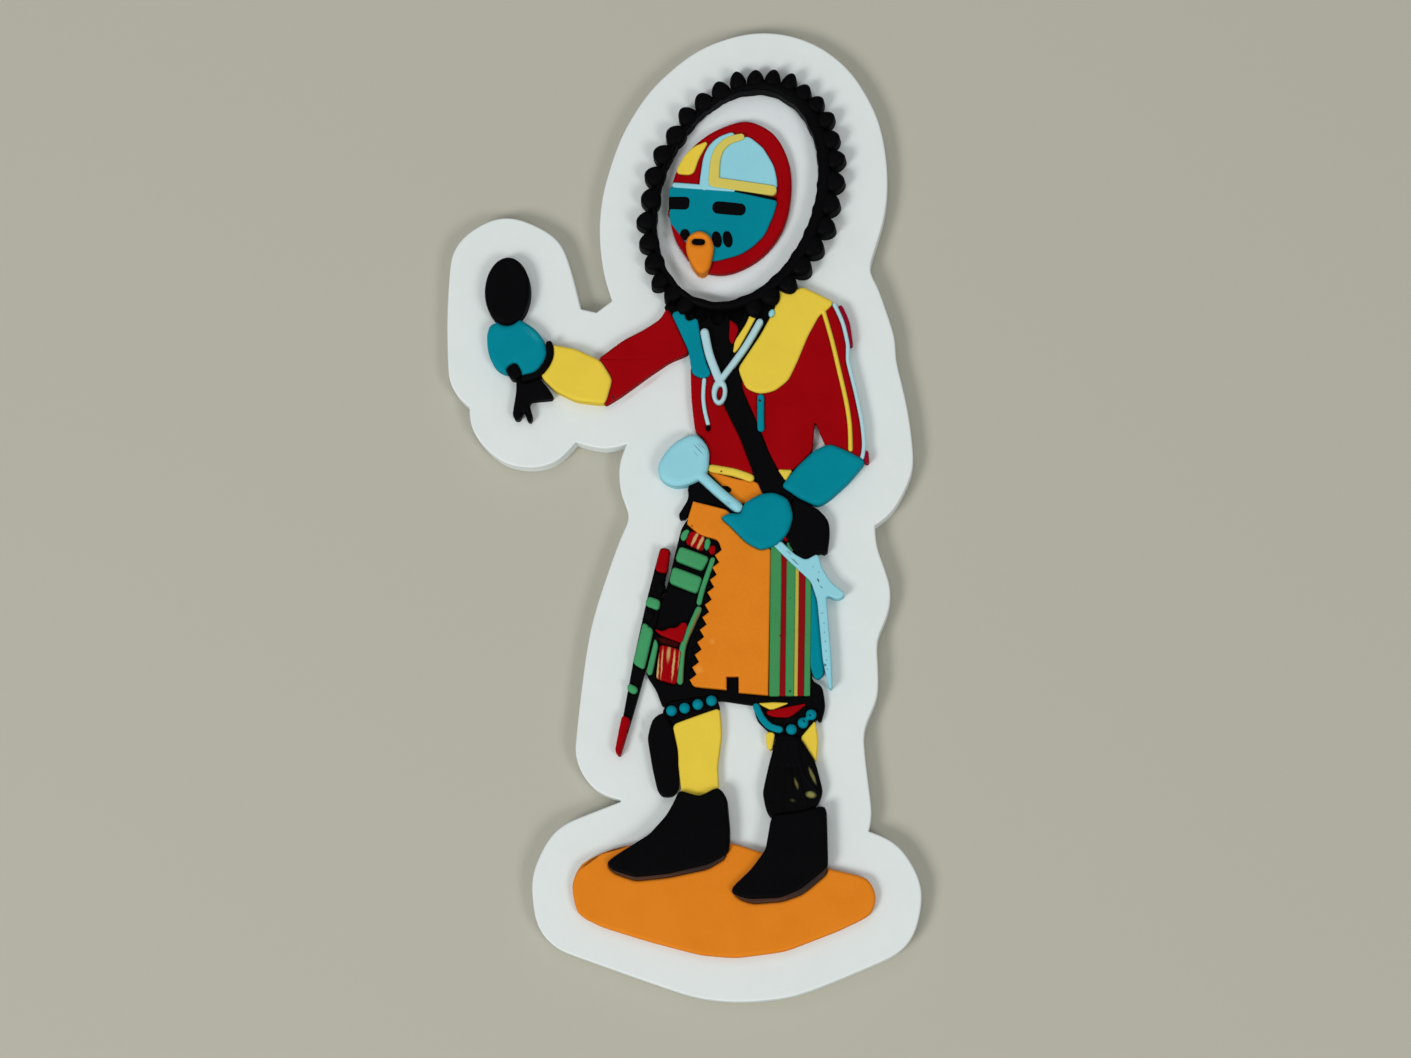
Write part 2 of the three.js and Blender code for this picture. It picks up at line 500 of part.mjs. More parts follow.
function leftLeg() {
  pour("black", RISE.knee, panel([
    [-2.2, -19.7], [-1.6, -18.7], [3.1, -18.0], [3.6, -19.6], [-0.8, -21.6], [-1.4, -21.4],
  ], CORNER.small));
  beads([[-1.25, -19.6], [0.05, -19.35], [1.35, -19.0], [2.7, -18.65]]);
  pour("yellow", RISE.shin, panel([
    [-1.1, -21.0], [3.5, -19.4], [3.7, -22.1], [3.3, -25.1], [3.4, -27.7], [1.6, -28.4], [-0.2, -28.0],
    [-0.5, -25.5],
  ], CORNER.small));
  pour("black", RISE.garter, panel([
    [-2.0, -19.7], [-3.1, -20.4], [-3.6, -22.3], [-3.1, -25.3], [-2.6, -27.5], [-2.2, -28.1], [-1.1, -28.1],
    [-0.5, -27.4], [-0.6, -23.6], [-1.1, -21.3],
  ], CORNER.soft));
  pour("brown", RISE.sole, panel([
    [-7.5, -34.7], [-6.9, -35.5], [-4.7, -36.3], [-1.5, -36.0], [2.4, -35.2], [4.2, -34.1], [3.6, -32.5],
    [-4.2, -33.2],
  ], CORNER.small));
  pour("black", RISE.boot, panel([
    [-0.4, -27.7], [1.6, -28.3], [3.4, -27.4], [4.1, -28.3], [4.4, -31.5], [4.3, -33.7], [2.4, -34.7],
    [-1.5, -35.6], [-4.7, -35.9], [-6.9, -35.2], [-7.4, -34.6], [-6.4, -33.9], [-3.2, -31.9], [-1.5, -30.0],
    [-0.6, -28.3],
  ], CORNER.soft));
}

function rightLeg() {
  pour("black", RISE.kilt, panel([
    [6.7, -18.9], [12.9, -18.9], [13.3, -20.2], [11.4, -22.9], [9.0, -22.4], [7.2, -20.7],
  ], CORNER.small));
  pour("yellow", RISE.backShin, panel([
    [7.2, -18.95], [8.8, -18.85], [10.4, -18.95], [8.6, -19.65],
  ], CORNER.crisp));
  pour("red", RISE.kneeFan, panel([
    [7.9, -19.8], [9.95, -19.4], [12.2, -19.0], [10.4, -20.4], [8.5, -20.3],
  ], CORNER.small));
  pour("teal", RISE.kneeBand, strip([[7.1, -19.3], [7.7, -20.5], [8.5, -21.3], [9.4, -21.6]], 0.65));
  beads([[10.55, -21.6], [11.7, -20.95], [12.5, -20.15]]);
  pour("teal", RISE.bead, strip([[11.7, -20.95], [12.5, -20.15]], BEAD));
  pour("yellow", RISE.backShin, panel([
    [8.05, -21.8], [8.95, -21.9], [8.65, -23.7], [8.15, -23.4],
  ], CORNER.crisp));
  pour("yellow", RISE.backShin, panel([
    [12.9, -20.7], [13.15, -22.7], [12.95, -24.9], [11.4, -22.5],
  ], CORNER.crisp));
  pour("black", RISE.tuft, panel([
    [9.2, -22.0], [8.3, -25.2], [7.7, -27.9], [8.1, -29.8], [8.8, -30.6], [11.4, -30.4], [13.2, -28.9],
    [13.6, -27.7], [12.9, -24.9], [11.4, -22.4],
  ], CORNER.soft));
  const ends = [[8.45, -29.0], [9.6, -29.7], [10.8, -29.4], [11.95, -28.8], [13.0, -27.7]];
  ends.forEach((end, i) => {
    pour("black", RISE.lock, strip([[9.7 + i * 0.36, -22.8], [9.2 + i * 0.62, -26.0], end], LOCK));
  });
  pour("brown", RISE.sole, panel([
    [4.8, -37.4], [5.3, -38.1], [6.7, -38.6], [9.6, -38.4], [11.6, -37.7], [14.0, -35.7], [13.7, -34.3],
    [6.5, -36.4],
  ], CORNER.small));
  pour("black", RISE.boot, panel([
    [8.7, -30.2], [8.1, -33.5], [6.7, -35.4], [4.9, -37.1], [4.8, -37.6], [6.3, -38.1], [9.4, -38.0],
    [11.3, -37.2], [13.9, -35.1], [13.8, -29.3], [11.4, -29.9],
  ], CORNER.soft));
}

function base() {
  pour("orange", RISE.base, panel([
    [-11.0, -36.6], [-10.1, -34.6], [-7.7, -33.4], [-5.4, -32.8], [4.4, -32.6], [7.8, -33.7], [13.9, -35.2],
    [17.9, -36.2], [18.7, -37.9], [18.2, -39.7], [15.1, -41.2], [9.8, -43.2], [5.0, -43.8], [1.6, -43.5],
    [-3.3, -42.2], [-8.1, -40.7], [-10.4, -39.5],
  ], CORNER.round));
}

// The white backing: a lobe around each limb and garment, all running together.
function backing() {
  const groups = {
    rattle: [[-20.1, 26.9], [-18.8, 27.7], [-16.6, 26.6], [-15.8, 23.8], [-20.3, 21.5]],
    hand: [[-20.3, 21.5], [-15.8, 23.8], [-14.1, 17.0], [-20.1, 15.6]],
    wristTassel: [[-17.9, 11.0], [-16.6, 9.7], [-15.4, 9.6], [-13.5, 12.2], [-17.1, 14.8]],
    forearm: [[-14.0, 18.2], [-11.1, 17.6], [-7.3, 15.5], [-8.0, 11.6], [-13.1, 12.8]],
    sleeve: [[-8.8, 16.5], [-6.3, 18.4], [-1.8, 21.8], [0.5, 16.9], [-8.2, 11.4]],
    chest: [[0.6, 15.6], [2.5, 5.3], [12.8, 20.0], [12.2, 23.9], [15.3, 22.2], [16.8, 17.4]],
    rightArm: [[16.7, 15.9], [18.0, 9.6], [18.4, 5.3], [17.2, 2.9], [13.3, 0.7], [10.0, 3.0]],
    gourd: [[1.1, 8.3], [-1.7, 6.7], [-2.6, 5.0], [-2.5, 3.4], [-0.9, 2.8], [3.8, 3.1]],
    bag: [[10.9, 1.8], [13.4, 0.5], [14.4, -0.7], [14.5, -2.0], [14.2, -4.2], [11.4, -4.5]],
    featherFork: [[13.3, -4.1], [15.0, -5.4], [16.0, -8.2], [15.7, -9.3], [12.4, -8.7]],
    featherTail: [[13.0, -8.4], [14.5, -13.8], [14.6, -17.6], [13.2, -20.3], [12.4, -8.7]],
    kilt: [[0.6, 1.5], [-1.1, 0.0], [-3.8, -15.9], [-2.1, -19.3], [13.2, -20.3], [12.6, -6.8], [9.0, -3.1]],
    staff: [[-2.4, -3.1], [-1.4, -3.3], [-5.3, -12.0], [-6.5, -20.0], [-6.4, -24.1], [-6.7, -23.6]],
    leftLeg: [[-2.0, -19.7], [-3.6, -22.3], [-2.2, -28.1], [3.4, -27.7], [3.7, -22.1]],
    leftBoot: [[-0.4, -27.7], [3.4, -27.4], [4.4, -31.5], [2.4, -34.7], [-4.7, -34.9]],
    rightLeg: [[9.2, -22.0], [13.1, -22.6], [13.7, -27.0], [13.8, -30.0], [8.1, -29.8]],
    base: [
      [-10.9, -36.6], [-10.0, -34.6], [-5.4, -32.8], [13.9, -35.0], [17.7, -36.3], [18.6, -37.9],
      [18.2, -39.9], [9.8, -43.3], [5.0, -43.8], [1.6, -43.4], [-3.3, -42.1], [-7.9, -40.2], [-10.6, -39.1],
    ],
  };
  const lobes = [oval(RUFF_BORDER, 48), ...Object.values(groups).map(points)].map((group) => hug(group));
  return coloured("white", prism(joined(lobes), 0, BACKING));
}

function moulding() {
  const parts = [ruff, mask, core, neck, vest, raisedArm, waist, kilt, sash, leftLeg, rightLeg, base];
  for (const part of parts) part();
  const whole = raised.reduce((sum, solid) => sum.add(solid), backing());
  return sunk.reduce((rest, solid) => rest.subtract(solid), whole);
}

// One mesh, centred over the origin, its faces grouped by the colour that was poured there.
function relief(name) {
  const { vertProperties, triVerts, runIndex, runOriginalID } = moulding().getMesh();
  const geometry = new THREE.BufferGeometry();
  geometry.setAttribute("position", new THREE.BufferAttribute(vertProperties, 3));
  geometry.setIndex(new THREE.BufferAttribute(triVerts, 1));
  runOriginalID.forEach((id, i) => {
    geometry.addGroup(runIndex[i], runIndex[i + 1] - runIndex[i], hueOf.get(id));
  });
  geometry.computeBoundingBox();
  const middle = geometry.boundingBox.getCenter(new THREE.Vector3());
  geometry.translate(-middle.x, -middle.y, 0);
  geometry.computeVertexNormals();
  const mesh = new THREE.Mesh(geometry, materials);
  mesh.name = name;
  return mesh;
}

const souvenir = new THREE.Group();
souvenir.add(relief("kachina_relief"));

export default souvenir;
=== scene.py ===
"""The finished look of a flat souvenir of moulded soft PVC: a kachina doll in low coloured relief.

The outline of every poured colour is lifted from the moulding in the frame, drawn smooth, and given the
rounded shoulder that liquid PVC sets with. Places on the figure are in millimetres on its drawing.
"""

import logging
import math
from collections.abc import Iterable
from dataclasses import dataclass, replace
from enum import Enum

import bmesh
import bpy
from mathutils import Matrix, Vector
from mathutils.geometry import intersect_point_tri_2d
from mathutils.kdtree import KDTree


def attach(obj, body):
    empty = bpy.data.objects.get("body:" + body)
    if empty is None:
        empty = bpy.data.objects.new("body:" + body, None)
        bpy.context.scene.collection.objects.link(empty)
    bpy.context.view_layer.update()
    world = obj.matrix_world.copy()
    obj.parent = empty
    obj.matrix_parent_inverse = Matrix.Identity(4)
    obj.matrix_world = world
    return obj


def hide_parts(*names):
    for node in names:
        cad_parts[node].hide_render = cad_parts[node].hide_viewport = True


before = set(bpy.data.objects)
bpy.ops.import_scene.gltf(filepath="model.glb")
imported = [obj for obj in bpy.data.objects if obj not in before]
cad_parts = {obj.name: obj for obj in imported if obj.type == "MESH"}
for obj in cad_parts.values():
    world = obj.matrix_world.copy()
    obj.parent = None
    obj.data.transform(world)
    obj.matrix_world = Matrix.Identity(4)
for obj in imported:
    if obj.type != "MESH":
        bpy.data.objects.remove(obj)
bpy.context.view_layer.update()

log = logging.getLogger("souvenir")

MM = 0.001
NODE = "kachina_relief"
BODY = "root"
DRAWING_ZERO = Vector((0.65, -1.886))  # where the drawing's zero lies in the frame
BACKING = 2.0  # thickness of the white backing
EMBED = 0.3  # how far a poured field reaches down into the backing
FOOT = BACKING - EMBED
RIM = "rim"  # vertex attribute: 0 on a flat top, 1 at the foot of its shoulder

Triple = tuple[float, float, float]
Colour = Triple
Place = tuple[float, float]


def in_frame(place: Place) -> Vector:
    """A place on the drawing, in frame millimetres."""
    return Vector(place) + DRAWING_ZERO


class Hue(Enum):
    """The colours of PVC, each by its slot in the record."""

    WHITE = "pvc_white"
    BLACK = "pvc_black"
    RED = "pvc_red"
    CRIMSON = "pvc_crimson"
    YELLOW = "pvc_yellow"
    TEAL = "pvc_teal"
    SKY = "pvc_sky"
    ORANGE = "pvc_orange"
    GREEN = "pvc_green"
    BROWN = "pvc_brown"


class Shoulder(Enum):
    """How the rim of a field is rounded: how far it runs in and how far it falls, in millimetres."""

    FINE = (0.12, 0.10)
    CRISP = (0.20, 0.16)
    SOFT = (0.34, 0.26)
    ROUND = (0.60, 0.42)
    PILLOW = (0.85, 0.60)

    @property
    def run(self) -> float:
        """How far the rounding reaches in from the edge."""
        return self.value[0]

    @property
    def fall(self) -> float:
        """How far the edge lies below the flat top."""
        return self.value[1]


class Graph:
    """Places and joins the nodes of one shader tree."""

    def __init__(self, tree: bpy.types.NodeTree) -> None:
        """Keeps the tree that the nodes go into."""
        self.tree = tree

    def node(self, kind: str, settings: dict | None = None, **inputs: object) -> bpy.types.Node:
        """Adds one node.

        Args:
            kind: The node's type, without its ShaderNode prefix.
            settings: Properties of the node itself.
            inputs: Values or sockets for its inputs, by name with _ for a space.

        Returns:
            The new node.
        """
        made = self.tree.nodes.new("ShaderNode" + kind)
        for name, value in (settings or {}).items():
            setattr(made, name, value)
        for name, value in inputs.items():
            self.feed(made.inputs[name.replace("_", " ")], value)
        return made

    def feed(self, socket: bpy.types.NodeSocket, value: object) -> None:
        """Sets a socket to a value, or links it to another node's output.

        Args:
            socket: The socket.
            value: The value or the output.
        """
        if isinstance(value, bpy.types.NodeSocket):
            self.tree.links.new(value, socket)
        else:
            socket.default_value = value

    def math(self, operation: str, *terms: object, kind: str = "Math") -> bpy.types.NodeSocket:
        """Adds a Math node.

        Args:
            operation: What it does, such as MULTIPLY.
            terms: Its values or sockets, in order.
            kind: Math, or VectorMath for vectors.

        Returns:
            The socket with the result.
        """
        made = self.node(kind, {"operation": operation})
        for socket, term in zip(made.inputs, terms):
            self.feed(socket, term)
        return made.outputs[0]

    def span(self, value: object, low: float, high: float, start: float = 0.0, end: float = 1.0) -> object:
        """Maps a value smoothly from low..high to start..end."""
        ends = {"From_Min": low, "From_Max": high, "To_Min": start, "To_Max": end}
        return self.node("MapRange", {"interpolation_type": "SMOOTHSTEP"}, Value=value, **ends).outputs[0]

    def mix(self, share: object, first: object, second: object, blend: str = "MIX") -> bpy.types.NodeSocket:
        """Mixes two colours.

        Args:
            share: How much of the second shows.
            first: The first colour or socket.
            second: The second colour or socket.
            blend: How they are mixed.

        Returns:
            The socket with the mixed colour.
        """
        made = self.node("Mix", {"data_type": "RGBA", "blend_type": blend})
        for name, value in (("Factor_Float", share), ("A_Color", first), ("B_Color", second)):
            socket = next(s for s in made.inputs if s.identifier == name)
            self.feed(socket, value)
        return next(s for s in made.outputs if s.identifier == "Result_Color")

    def placed(self, turn: float = 0.0, stretch: Place = (1.0, 1.0)) -> bpy.types.NodeSocket:
        """Object coordinates in millimetres, turned by degrees and stretched along their own X and Y."""
        where = self.node("TexCoord").outputs["Object"]
        return self.local(where, (0.0, 0.0), -turn, (1 / stretch[0], 1 / stretch[1], 1.0))

    def local(self, where: object, zero: Place, turn: float, size: Triple) -> bpy.types.NodeSocket:
        """Coordinates in a frame of their own on the figure.

        Args:
            where: The socket with the object coordinates.
            zero: Place on the drawing of the frame's zero.
            turn: Degrees that the frame is turned.
            size: Millimetres that count as one along each of its axes.

        Returns:
            The socket with the coordinates.
        """
        place = {
            "Location": (*in_frame(zero) * MM, 0.0),
            "Rotation": (0.0, 0.0, math.radians(turn)),
            "Scale": tuple(side * MM for side in size),
        }
        return self.node("Mapping", {"vector_type": "TEXTURE"}, Vector=where, **place).outputs[0]


class Effects:
    """Shader groups that more than one finish uses, each built once."""

    CLOUDS = {"Scale": 0.28, "Detail": 4.0, "Roughness": 0.6}
    CLOUD_SPAN = (0.32, 0.72)  # values of the noise between which a patch comes up
    GRAIN = {"Scale": 7.0, "Detail": 3.0, "Roughness": 0.65}
    GRAIN_SPAN = (0.35, 0.75)
    RIM_POWER = 1.6  # how closely the painted shade and bleed keep to the foot
    MARKS = {"Scale": 1.0, "Detail": 2.0}
    MARK_TURN = 52.0
    MARK_STRETCH = (5.5, 0.16)
    PIT_SIZE = 1.15
    PIT_RADII = (0.1, 0.2)  # of a bubble's floor and of its rim

    @staticmethod
    def group(name: str, inputs: dict[str, str], outputs: dict[str, str]) -> tuple:
        """Starts a node group.

        Args:
            name: The group's name.
            inputs: Socket type of each input, by name.
            outputs: Socket type of each output, by name.

        Returns:
            The group's graph, its input node and its output node.
        """
        tree = bpy.data.node_groups.new(name, "ShaderNodeTree")
        for in_out, sockets in (("INPUT", inputs), ("OUTPUT", outputs)):
            for socket, kind in sockets.items():
                tree.interface.new_socket(socket, in_out=in_out, socket_type="NodeSocket" + kind)
        return Graph(tree), tree.nodes.new("NodeGroupInput"), tree.nodes.new("NodeGroupOutput")

    @classmethod
    def cloudy_pour(cls) -> bpy.types.NodeTree:
        """Soft cloudy patches of a second tone, and the fine grain of the mould.

        Returns:
            The group.
        """
        graph, given, result = cls.group(
            "cloudy_pour",
            {"Colour": "Color", "Deep": "Color", "Amount": "Float"},
            {"Colour": "Color", "Grain": "Float", "Sheen": "Float"},
        )
        where = graph.placed()
        patches = graph.node("TexNoise", Vector=where, **cls.CLOUDS)
        grain = graph.node("TexNoise", Vector=where, **cls.GRAIN)
        cloud = graph.span(patches.outputs["Fac"], *cls.CLOUD_SPAN)
        speck = graph.span(grain.outputs["Fac"], *cls.GRAIN_SPAN)
        share = graph.math("MULTIPLY", given.outputs["Amount"], graph.math("ADD", cloud, speck))
        colour = graph.mix(share, given.outputs["Colour"], given.outputs["Deep"])
        graph.feed(result.inputs["Colour"], colour)
        graph.feed(result.inputs["Grain"], grain.outputs["Fac"])
        graph.feed(result.inputs["Sheen"], patches.outputs["Fac"])
        return graph.tree

    @classmethod
    def rim_bleed_and_shade(cls) -> bpy.types.NodeTree:
        """Darkens the foot of a field's shoulder with painted shade where it meets the surface below,
        together with the colour bleed and dirt that gather there.

        Returns:
            The group.
        """
        inputs = {"Colour": "Color", "Strength": "Float"}
        graph, given, result = cls.group("rim_bleed_and_shade", inputs, {"Colour": "Color"})
        rim = graph.node("Attribute", {"attribute_name": RIM}).outputs["Fac"]
        depth = graph.math("MULTIPLY", graph.math("POWER", rim, cls.RIM_POWER), given.outputs["Strength"])
        keep = graph.math("SUBTRACT", 1.0, depth)
        shade = graph.node("CombineColor", Red=keep, Green=keep, Blue=keep).outputs["Color"]
        graph.feed(result.inputs["Colour"], graph.mix(1.0, given.outputs["Colour"], shade, "MULTIPLY"))
        return graph.tree

    @classmethod
    def tool_marks(cls) -> bpy.types.NodeTree:
        """Fine slanting lines that the cutter left in the mould.

        Returns:
            The group.
        """
        graph, given, result = cls.group("tool_marks", {"Strength": "Float"}, {"Height": "Float"})
        where = graph.placed(cls.MARK_TURN, cls.MARK_STRETCH)
        lines = graph.node("TexNoise", Vector=where, **cls.MARKS).outputs["Fac"]
        graph.feed(result.inputs["Height"], graph.math("MULTIPLY", lines, given.outputs["Strength"]))
        return graph.tree

    @classmethod
    def pinholes(cls) -> bpy.types.NodeTree:
        """Small burst bubbles, one in a random share of the cells of a scattered pattern.

        Returns:
            The group.
        """
        graph, given, result = cls.group("pinholes", {"Amount": "Float"}, {"Mask": "Float"})
        where = graph.placed()
        cells = graph.node("TexVoronoi", Vector=where, Scale=cls.PIT_SIZE)
        dot = graph.span(cells.outputs["Distance"], *cls.PIT_RADII, 1.0, 0.0)
        chance = graph.node("SeparateColor", Color=cells.outputs["Color"]).outputs["Red"]
        rare = graph.math("LESS_THAN", chance, given.outputs["Amount"])
        graph.feed(result.inputs["Mask"], graph.math("MULTIPLY", dot, rare))
        return graph.tree

    @classmethod
    def use(cls, graph: Graph, name: str, **inputs: object) -> bpy.types.Node:
        """Places a shared group in a tree, building it the first time.

        Args:
            graph: The tree it goes into.
            name: The group's name, which is also the name of the method that builds it.
            inputs: Values or sockets for its inputs.

        Returns:
            The group node.
        """
        tree = bpy.data.node_groups.get(name) or getattr(cls, name)()
        node = graph.tree.nodes.new("ShaderNodeGroup")
        node.node_tree = tree
        for socket, value in inputs.items():
            graph.feed(node.inputs[socket], value)
        return node


@dataclass(frozen=True)
class Stroke:
    """A mark in another colour, as an oval: a streak, a scratch, a dot, a stain, painted shade or a painted
    highlight.
    """

    start: Place
    end: Place
    width: float
    colour: Colour
    strength: float = 1.0
    soft: float = 0.5  # share of its width that fades out

    LEVEL = 1000.0  # keeps a stroke the same at all heights

    def mask(self, graph: Graph, where: bpy.types.NodeSocket) -> bpy.types.NodeSocket:
        """Where the stroke shows.

        Args:
            graph: The material's tree.
            where: The socket with the object coordinates.

        Returns:
            The socket with its mask.
        """
        start, end = Vector(self.start), Vector(self.end)
        run = end - start
        turn = math.degrees(math.atan2(run.y, run.x))
        half = ((run.length + self.width) / 2, self.width / 2, self.LEVEL)
        inside = graph.local(where, start.lerp(end, 0.5), turn, half)
        away = graph.node("VectorMath", {"operation": "LENGTH"}, Vector=inside).outputs["Value"]
        return graph.span(away, 1 - self.soft, 1.0, self.strength, 0.0)


@dataclass(frozen=True)
class Finish:
    """One colour of set PVC: its two tones, how matt it is, and the marks it carries."""

    name: str
    hue: Hue
    colour: Colour
    deep: Colour
    cloud: float = 0.32
    roughness: float = 0.55
    gloss: float = 0.03
    # strength of the painted shade, colour bleed and dirt at the foot of each shoulder
    rim: float = 0.18
    marks: float = 0.25
    pits: float = 0.0
    grain: float = 0.35
    wobble: float = 0.16  # millimetres that the edge of a stroke strays
    strokes: tuple[Stroke, ...] = ()

    BUMP = 0.22
    BUMP_DEPTH = 0.06
    WOBBLE = {"Scale": 2.6, "Detail": 3.0}  # the noise that the edge of a stroke follows
    EVEN = (0.5, 0.5, 0.5)  # its mean
    PIT_SHADE = 0.25  # how bright a burst bubble is beside the deep tone
    SHEEN_SPAN = (0.3, 0.7)
    SHEEN = (-0.06, 0.08)  # how far the roughness strays over that span
    REFRACTION = 1.5

    def variant(self, name: str, *strokes: Stroke, **changes: object) -> "Finish":
        """The same colour under a name of its own, with other marks or settings."""
        return replace(self, name=name, strokes=strokes, **changes)

    def marked(self, graph: Graph, colour: bpy.types.NodeSocket) -> bpy.types.NodeSocket:
        """Lays the finish's strokes over its colour.

        Args:
            graph: The material's tree.
            colour: The colour under the strokes.

        Returns:
            The socket with the marked colour.
        """
        if not self.strokes:
            return colour
        where = graph.node("TexCoord").outputs["Object"]
        noise = graph.node("TexNoise", Vector=graph.placed(), **self.WOBBLE).outputs["Color"]
        stray = graph.math("SUBTRACT", noise, self.EVEN, kind="VectorMath")
        small = graph.math("MULTIPLY", stray, [self.wobble * MM] * 3, kind="VectorMath")
        moved = graph.math("ADD", where, small, kind="VectorMath")
        for stroke in self.strokes:
            colour = graph.mix(stroke.mask(graph, moved), colour, (*stroke.colour, 1.0))
        return colour

    def material(self) -> bpy.types.Material:
        """The finish as a material, made once.

        Returns:
            The material.
        """
        made = bpy.data.materials.get(self.name)
        if made:
            return made
        made = bpy.data.materials.new(self.name)
        made.use_nodes = True
        made.node_tree.nodes.clear()
        graph = Graph(made.node_tree)
        tones = {"Colour": (*self.colour, 1.0), "Deep": (*self.deep, 1.0), "Amount": self.cloud}
        pour = Effects.use(graph, "cloudy_pour", **tones)
        marks = Effects.use(graph, "tool_marks", Strength=self.marks)
        colour = self.marked(graph, pour.outputs["Colour"])
        holes = Effects.use(graph, "pinholes", Amount=self.pits).outputs["Mask"]
        colour = graph.mix(holes, colour, (*(self.PIT_SHADE * c for c in self.deep), 1.0))
        # painted shade, with colour bleed and dirt, darkens the foot of each shoulder
        colour = Effects.use(graph, "rim_bleed_and_shade", Colour=colour, Strength=self.rim).outputs["Colour"]
        height = graph.math("MULTIPLY_ADD", pour.outputs["Grain"], self.grain, marks.outputs["Height"])
        height = graph.math("SUBTRACT", height, holes)
        bump = graph.node("Bump", Strength=self.BUMP, Distance=self.BUMP_DEPTH * MM, Height=height)
        ends = (self.roughness + stray for stray in self.SHEEN)
        sheen = graph.span(pour.outputs["Sheen"], *self.SHEEN_SPAN, *ends)
        shader = graph.node("BsdfPrincipled", Base_Color=colour, Roughness=sheen, Normal=bump.outputs[0])
        shader.inputs["IOR"].default_value = self.REFRACTION
        shader.inputs["Specular IOR Level"].default_value = self.gloss
        graph.node("OutputMaterial", Surface=shader.outputs[0])
        return made


CREAM = (0.62, 0.42, 0.16)
PINK = (0.62, 0.26, 0.26)
OLIVE = (0.15, 0.14, 0.04)
MOSS = (0.24, 0.23, 0.07)
RUST = (0.20, 0.15, 0.045)
DRAB_SHADE_AND_GRIME = (0.21, 0.23, 0.18)
UMBER_EDGE_SHADE = (0.06, 0.018, 0.006)
SCRATCH = (0.03, 0.08, 0.10)
SOOT = (0.02, 0.02, 0.02)

WHITE = Finish(
    "white_pvc", Hue.WHITE, (0.76, 0.81, 0.79), (0.70, 0.755, 0.735), cloud=0.3, rim=0.05, marks=0.1
)
STAINED_AND_SHADED_WHITE = WHITE.variant(
    "stained_and_shaded_white_pvc",
    Stroke((-4.9, 13.3), (-2.2, 15.2), 0.7, PINK, 0.35, 1.0),
    Stroke((-6.4, 12.2), (-4.6, 13.4), 0.5, PINK, 0.2, 1.0),
    Stroke((-4.2, -20.3), (-4.1, -21.0), 0.9, SOOT, 0.16, 1.0),
    Stroke((-4.4, -21.6), (-4.3, -22.4), 0.8, SOOT, 0.2, 1.0),
    # painted shade: a grey-brown patch in the small white window between the arm and the vest
    Stroke((12.8, 6.9), (13.1, 8.3), 1.2, (0.10, 0.085, 0.07), 0.65, 1.0),
)
HALO_WHITE = Finish(
    "halo_white_pvc",
    Hue.WHITE,
    (0.77, 0.82, 0.82),
    (0.70, 0.74, 0.75),
    rim=0.05,
    marks=1.6,
    strokes=(
        # painted shade cast by the ruff's band along the halo's left and bottom edges, with some grime; the
        # small last stroke is a grey stain
        Stroke((-2.3, 28.6), (0.0, 23.9), 1.4, DRAB_SHADE_AND_GRIME, 0.55, 1.0),
        Stroke((-0.7, 24.0), (5.0, 22.6), 1.1, DRAB_SHADE_AND_GRIME, 0.55, 1.0),
        Stroke((-1.6, 38.6), (-2.2, 27.4), 2.0, DRAB_SHADE_AND_GRIME, 0.62, 1.0),
        Stroke((-2.1, 30.0), (-2.0, 29.7), 0.8, DRAB_SHADE_AND_GRIME, 0.3, 1.0),
    ),
)
BLACK = Finish("black_pvc", Hue.BLACK, (0.0012, 0.0012, 0.0016), (0.003, 0.003, 0.0035), gloss=0.035)
TUFT_BLACK = BLACK.variant(
    "tuft_black_pvc",
    Stroke((12.25, -25.4), (12.95, -27.1), 0.42, OLIVE, 1.0, 0.6),
    Stroke((10.85, -26.5), (11.2, -27.5), 0.42, OLIVE, 0.8, 0.8),
    Stroke((12.2, -28.05), (12.65, -28.15), 0.85, MOSS, 1.0, 0.7),
    Stroke((10.5, -28.6), (10.8, -28.7), 0.45, OLIVE, 0.35, 1.0),
)
SHADED_BEVEL_BLACK = BLACK.variant(
    "shaded_bevel_black_pvc",
    # painted shade: a dark red band where the red step's lower slope lies in shadow
    Stroke((-2.6, -12.4), (-0.1, -13.2), 0.75, (0.045, 0.002, 0.002), 1.0, 0.4),
)
RED = Finish("red_pvc", Hue.RED, (0.335, 0.0006, 0.003), (0.25, 0.0004, 0.002), marks=0.3)
SLEEVE_RED = RED.variant("sleeve_red_pvc", Stroke((-7.25, 12.5), (-7.2, 12.4), 0.3, SOOT))
KNOT_RED = RED.variant(
    "knot_red_pvc",
    Stroke((1.42, -1.65), (0.72, -3.05), 0.42, CREAM, 0.85),
    Stroke((2.02, -2.0), (1.28, -3.45), 0.42, CREAM, 0.85),
    Stroke((2.68, -2.3), (1.95, -3.75), 0.62, (0.26, 0.33, 0.07), 1.0, 0.35),
    Stroke((2.95, -2.45), (3.05, -2.85), 0.5, SOOT, 1.0, 0.35),
)
STREAKED_RED = RED.variant(
    "streaked_red_pvc",
    Stroke((-2.72, -12.6), (-2.85, -17.4), 0.75, CREAM, 1.0, 0.35),
    Stroke((-2.05, -13.1), (-2.3, -16.8), 0.2, CREAM, 0.8),
    Stroke((-1.4, -12.9), (-1.6, -14.9), 0.5, CREAM, 0.75, 0.8),
    Stroke((-0.85, -13.3), (-1.2, -16.8), 0.3, CREAM, 0.85),
    Stroke((-0.4, -13.3), (-0.6, -15.8), 0.16, CREAM, 0.6),
)
STRIPE_RED = RED.variant("stripe_red_pvc", colour=(0.255, 0.005, 0.007), deep=(0.2, 0.004, 0.005))
CRIMSON = Finish("crimson_pvc", Hue.CRIMSON, (0.28, 0.003, 0.02), (0.2, 0.002, 0.015))
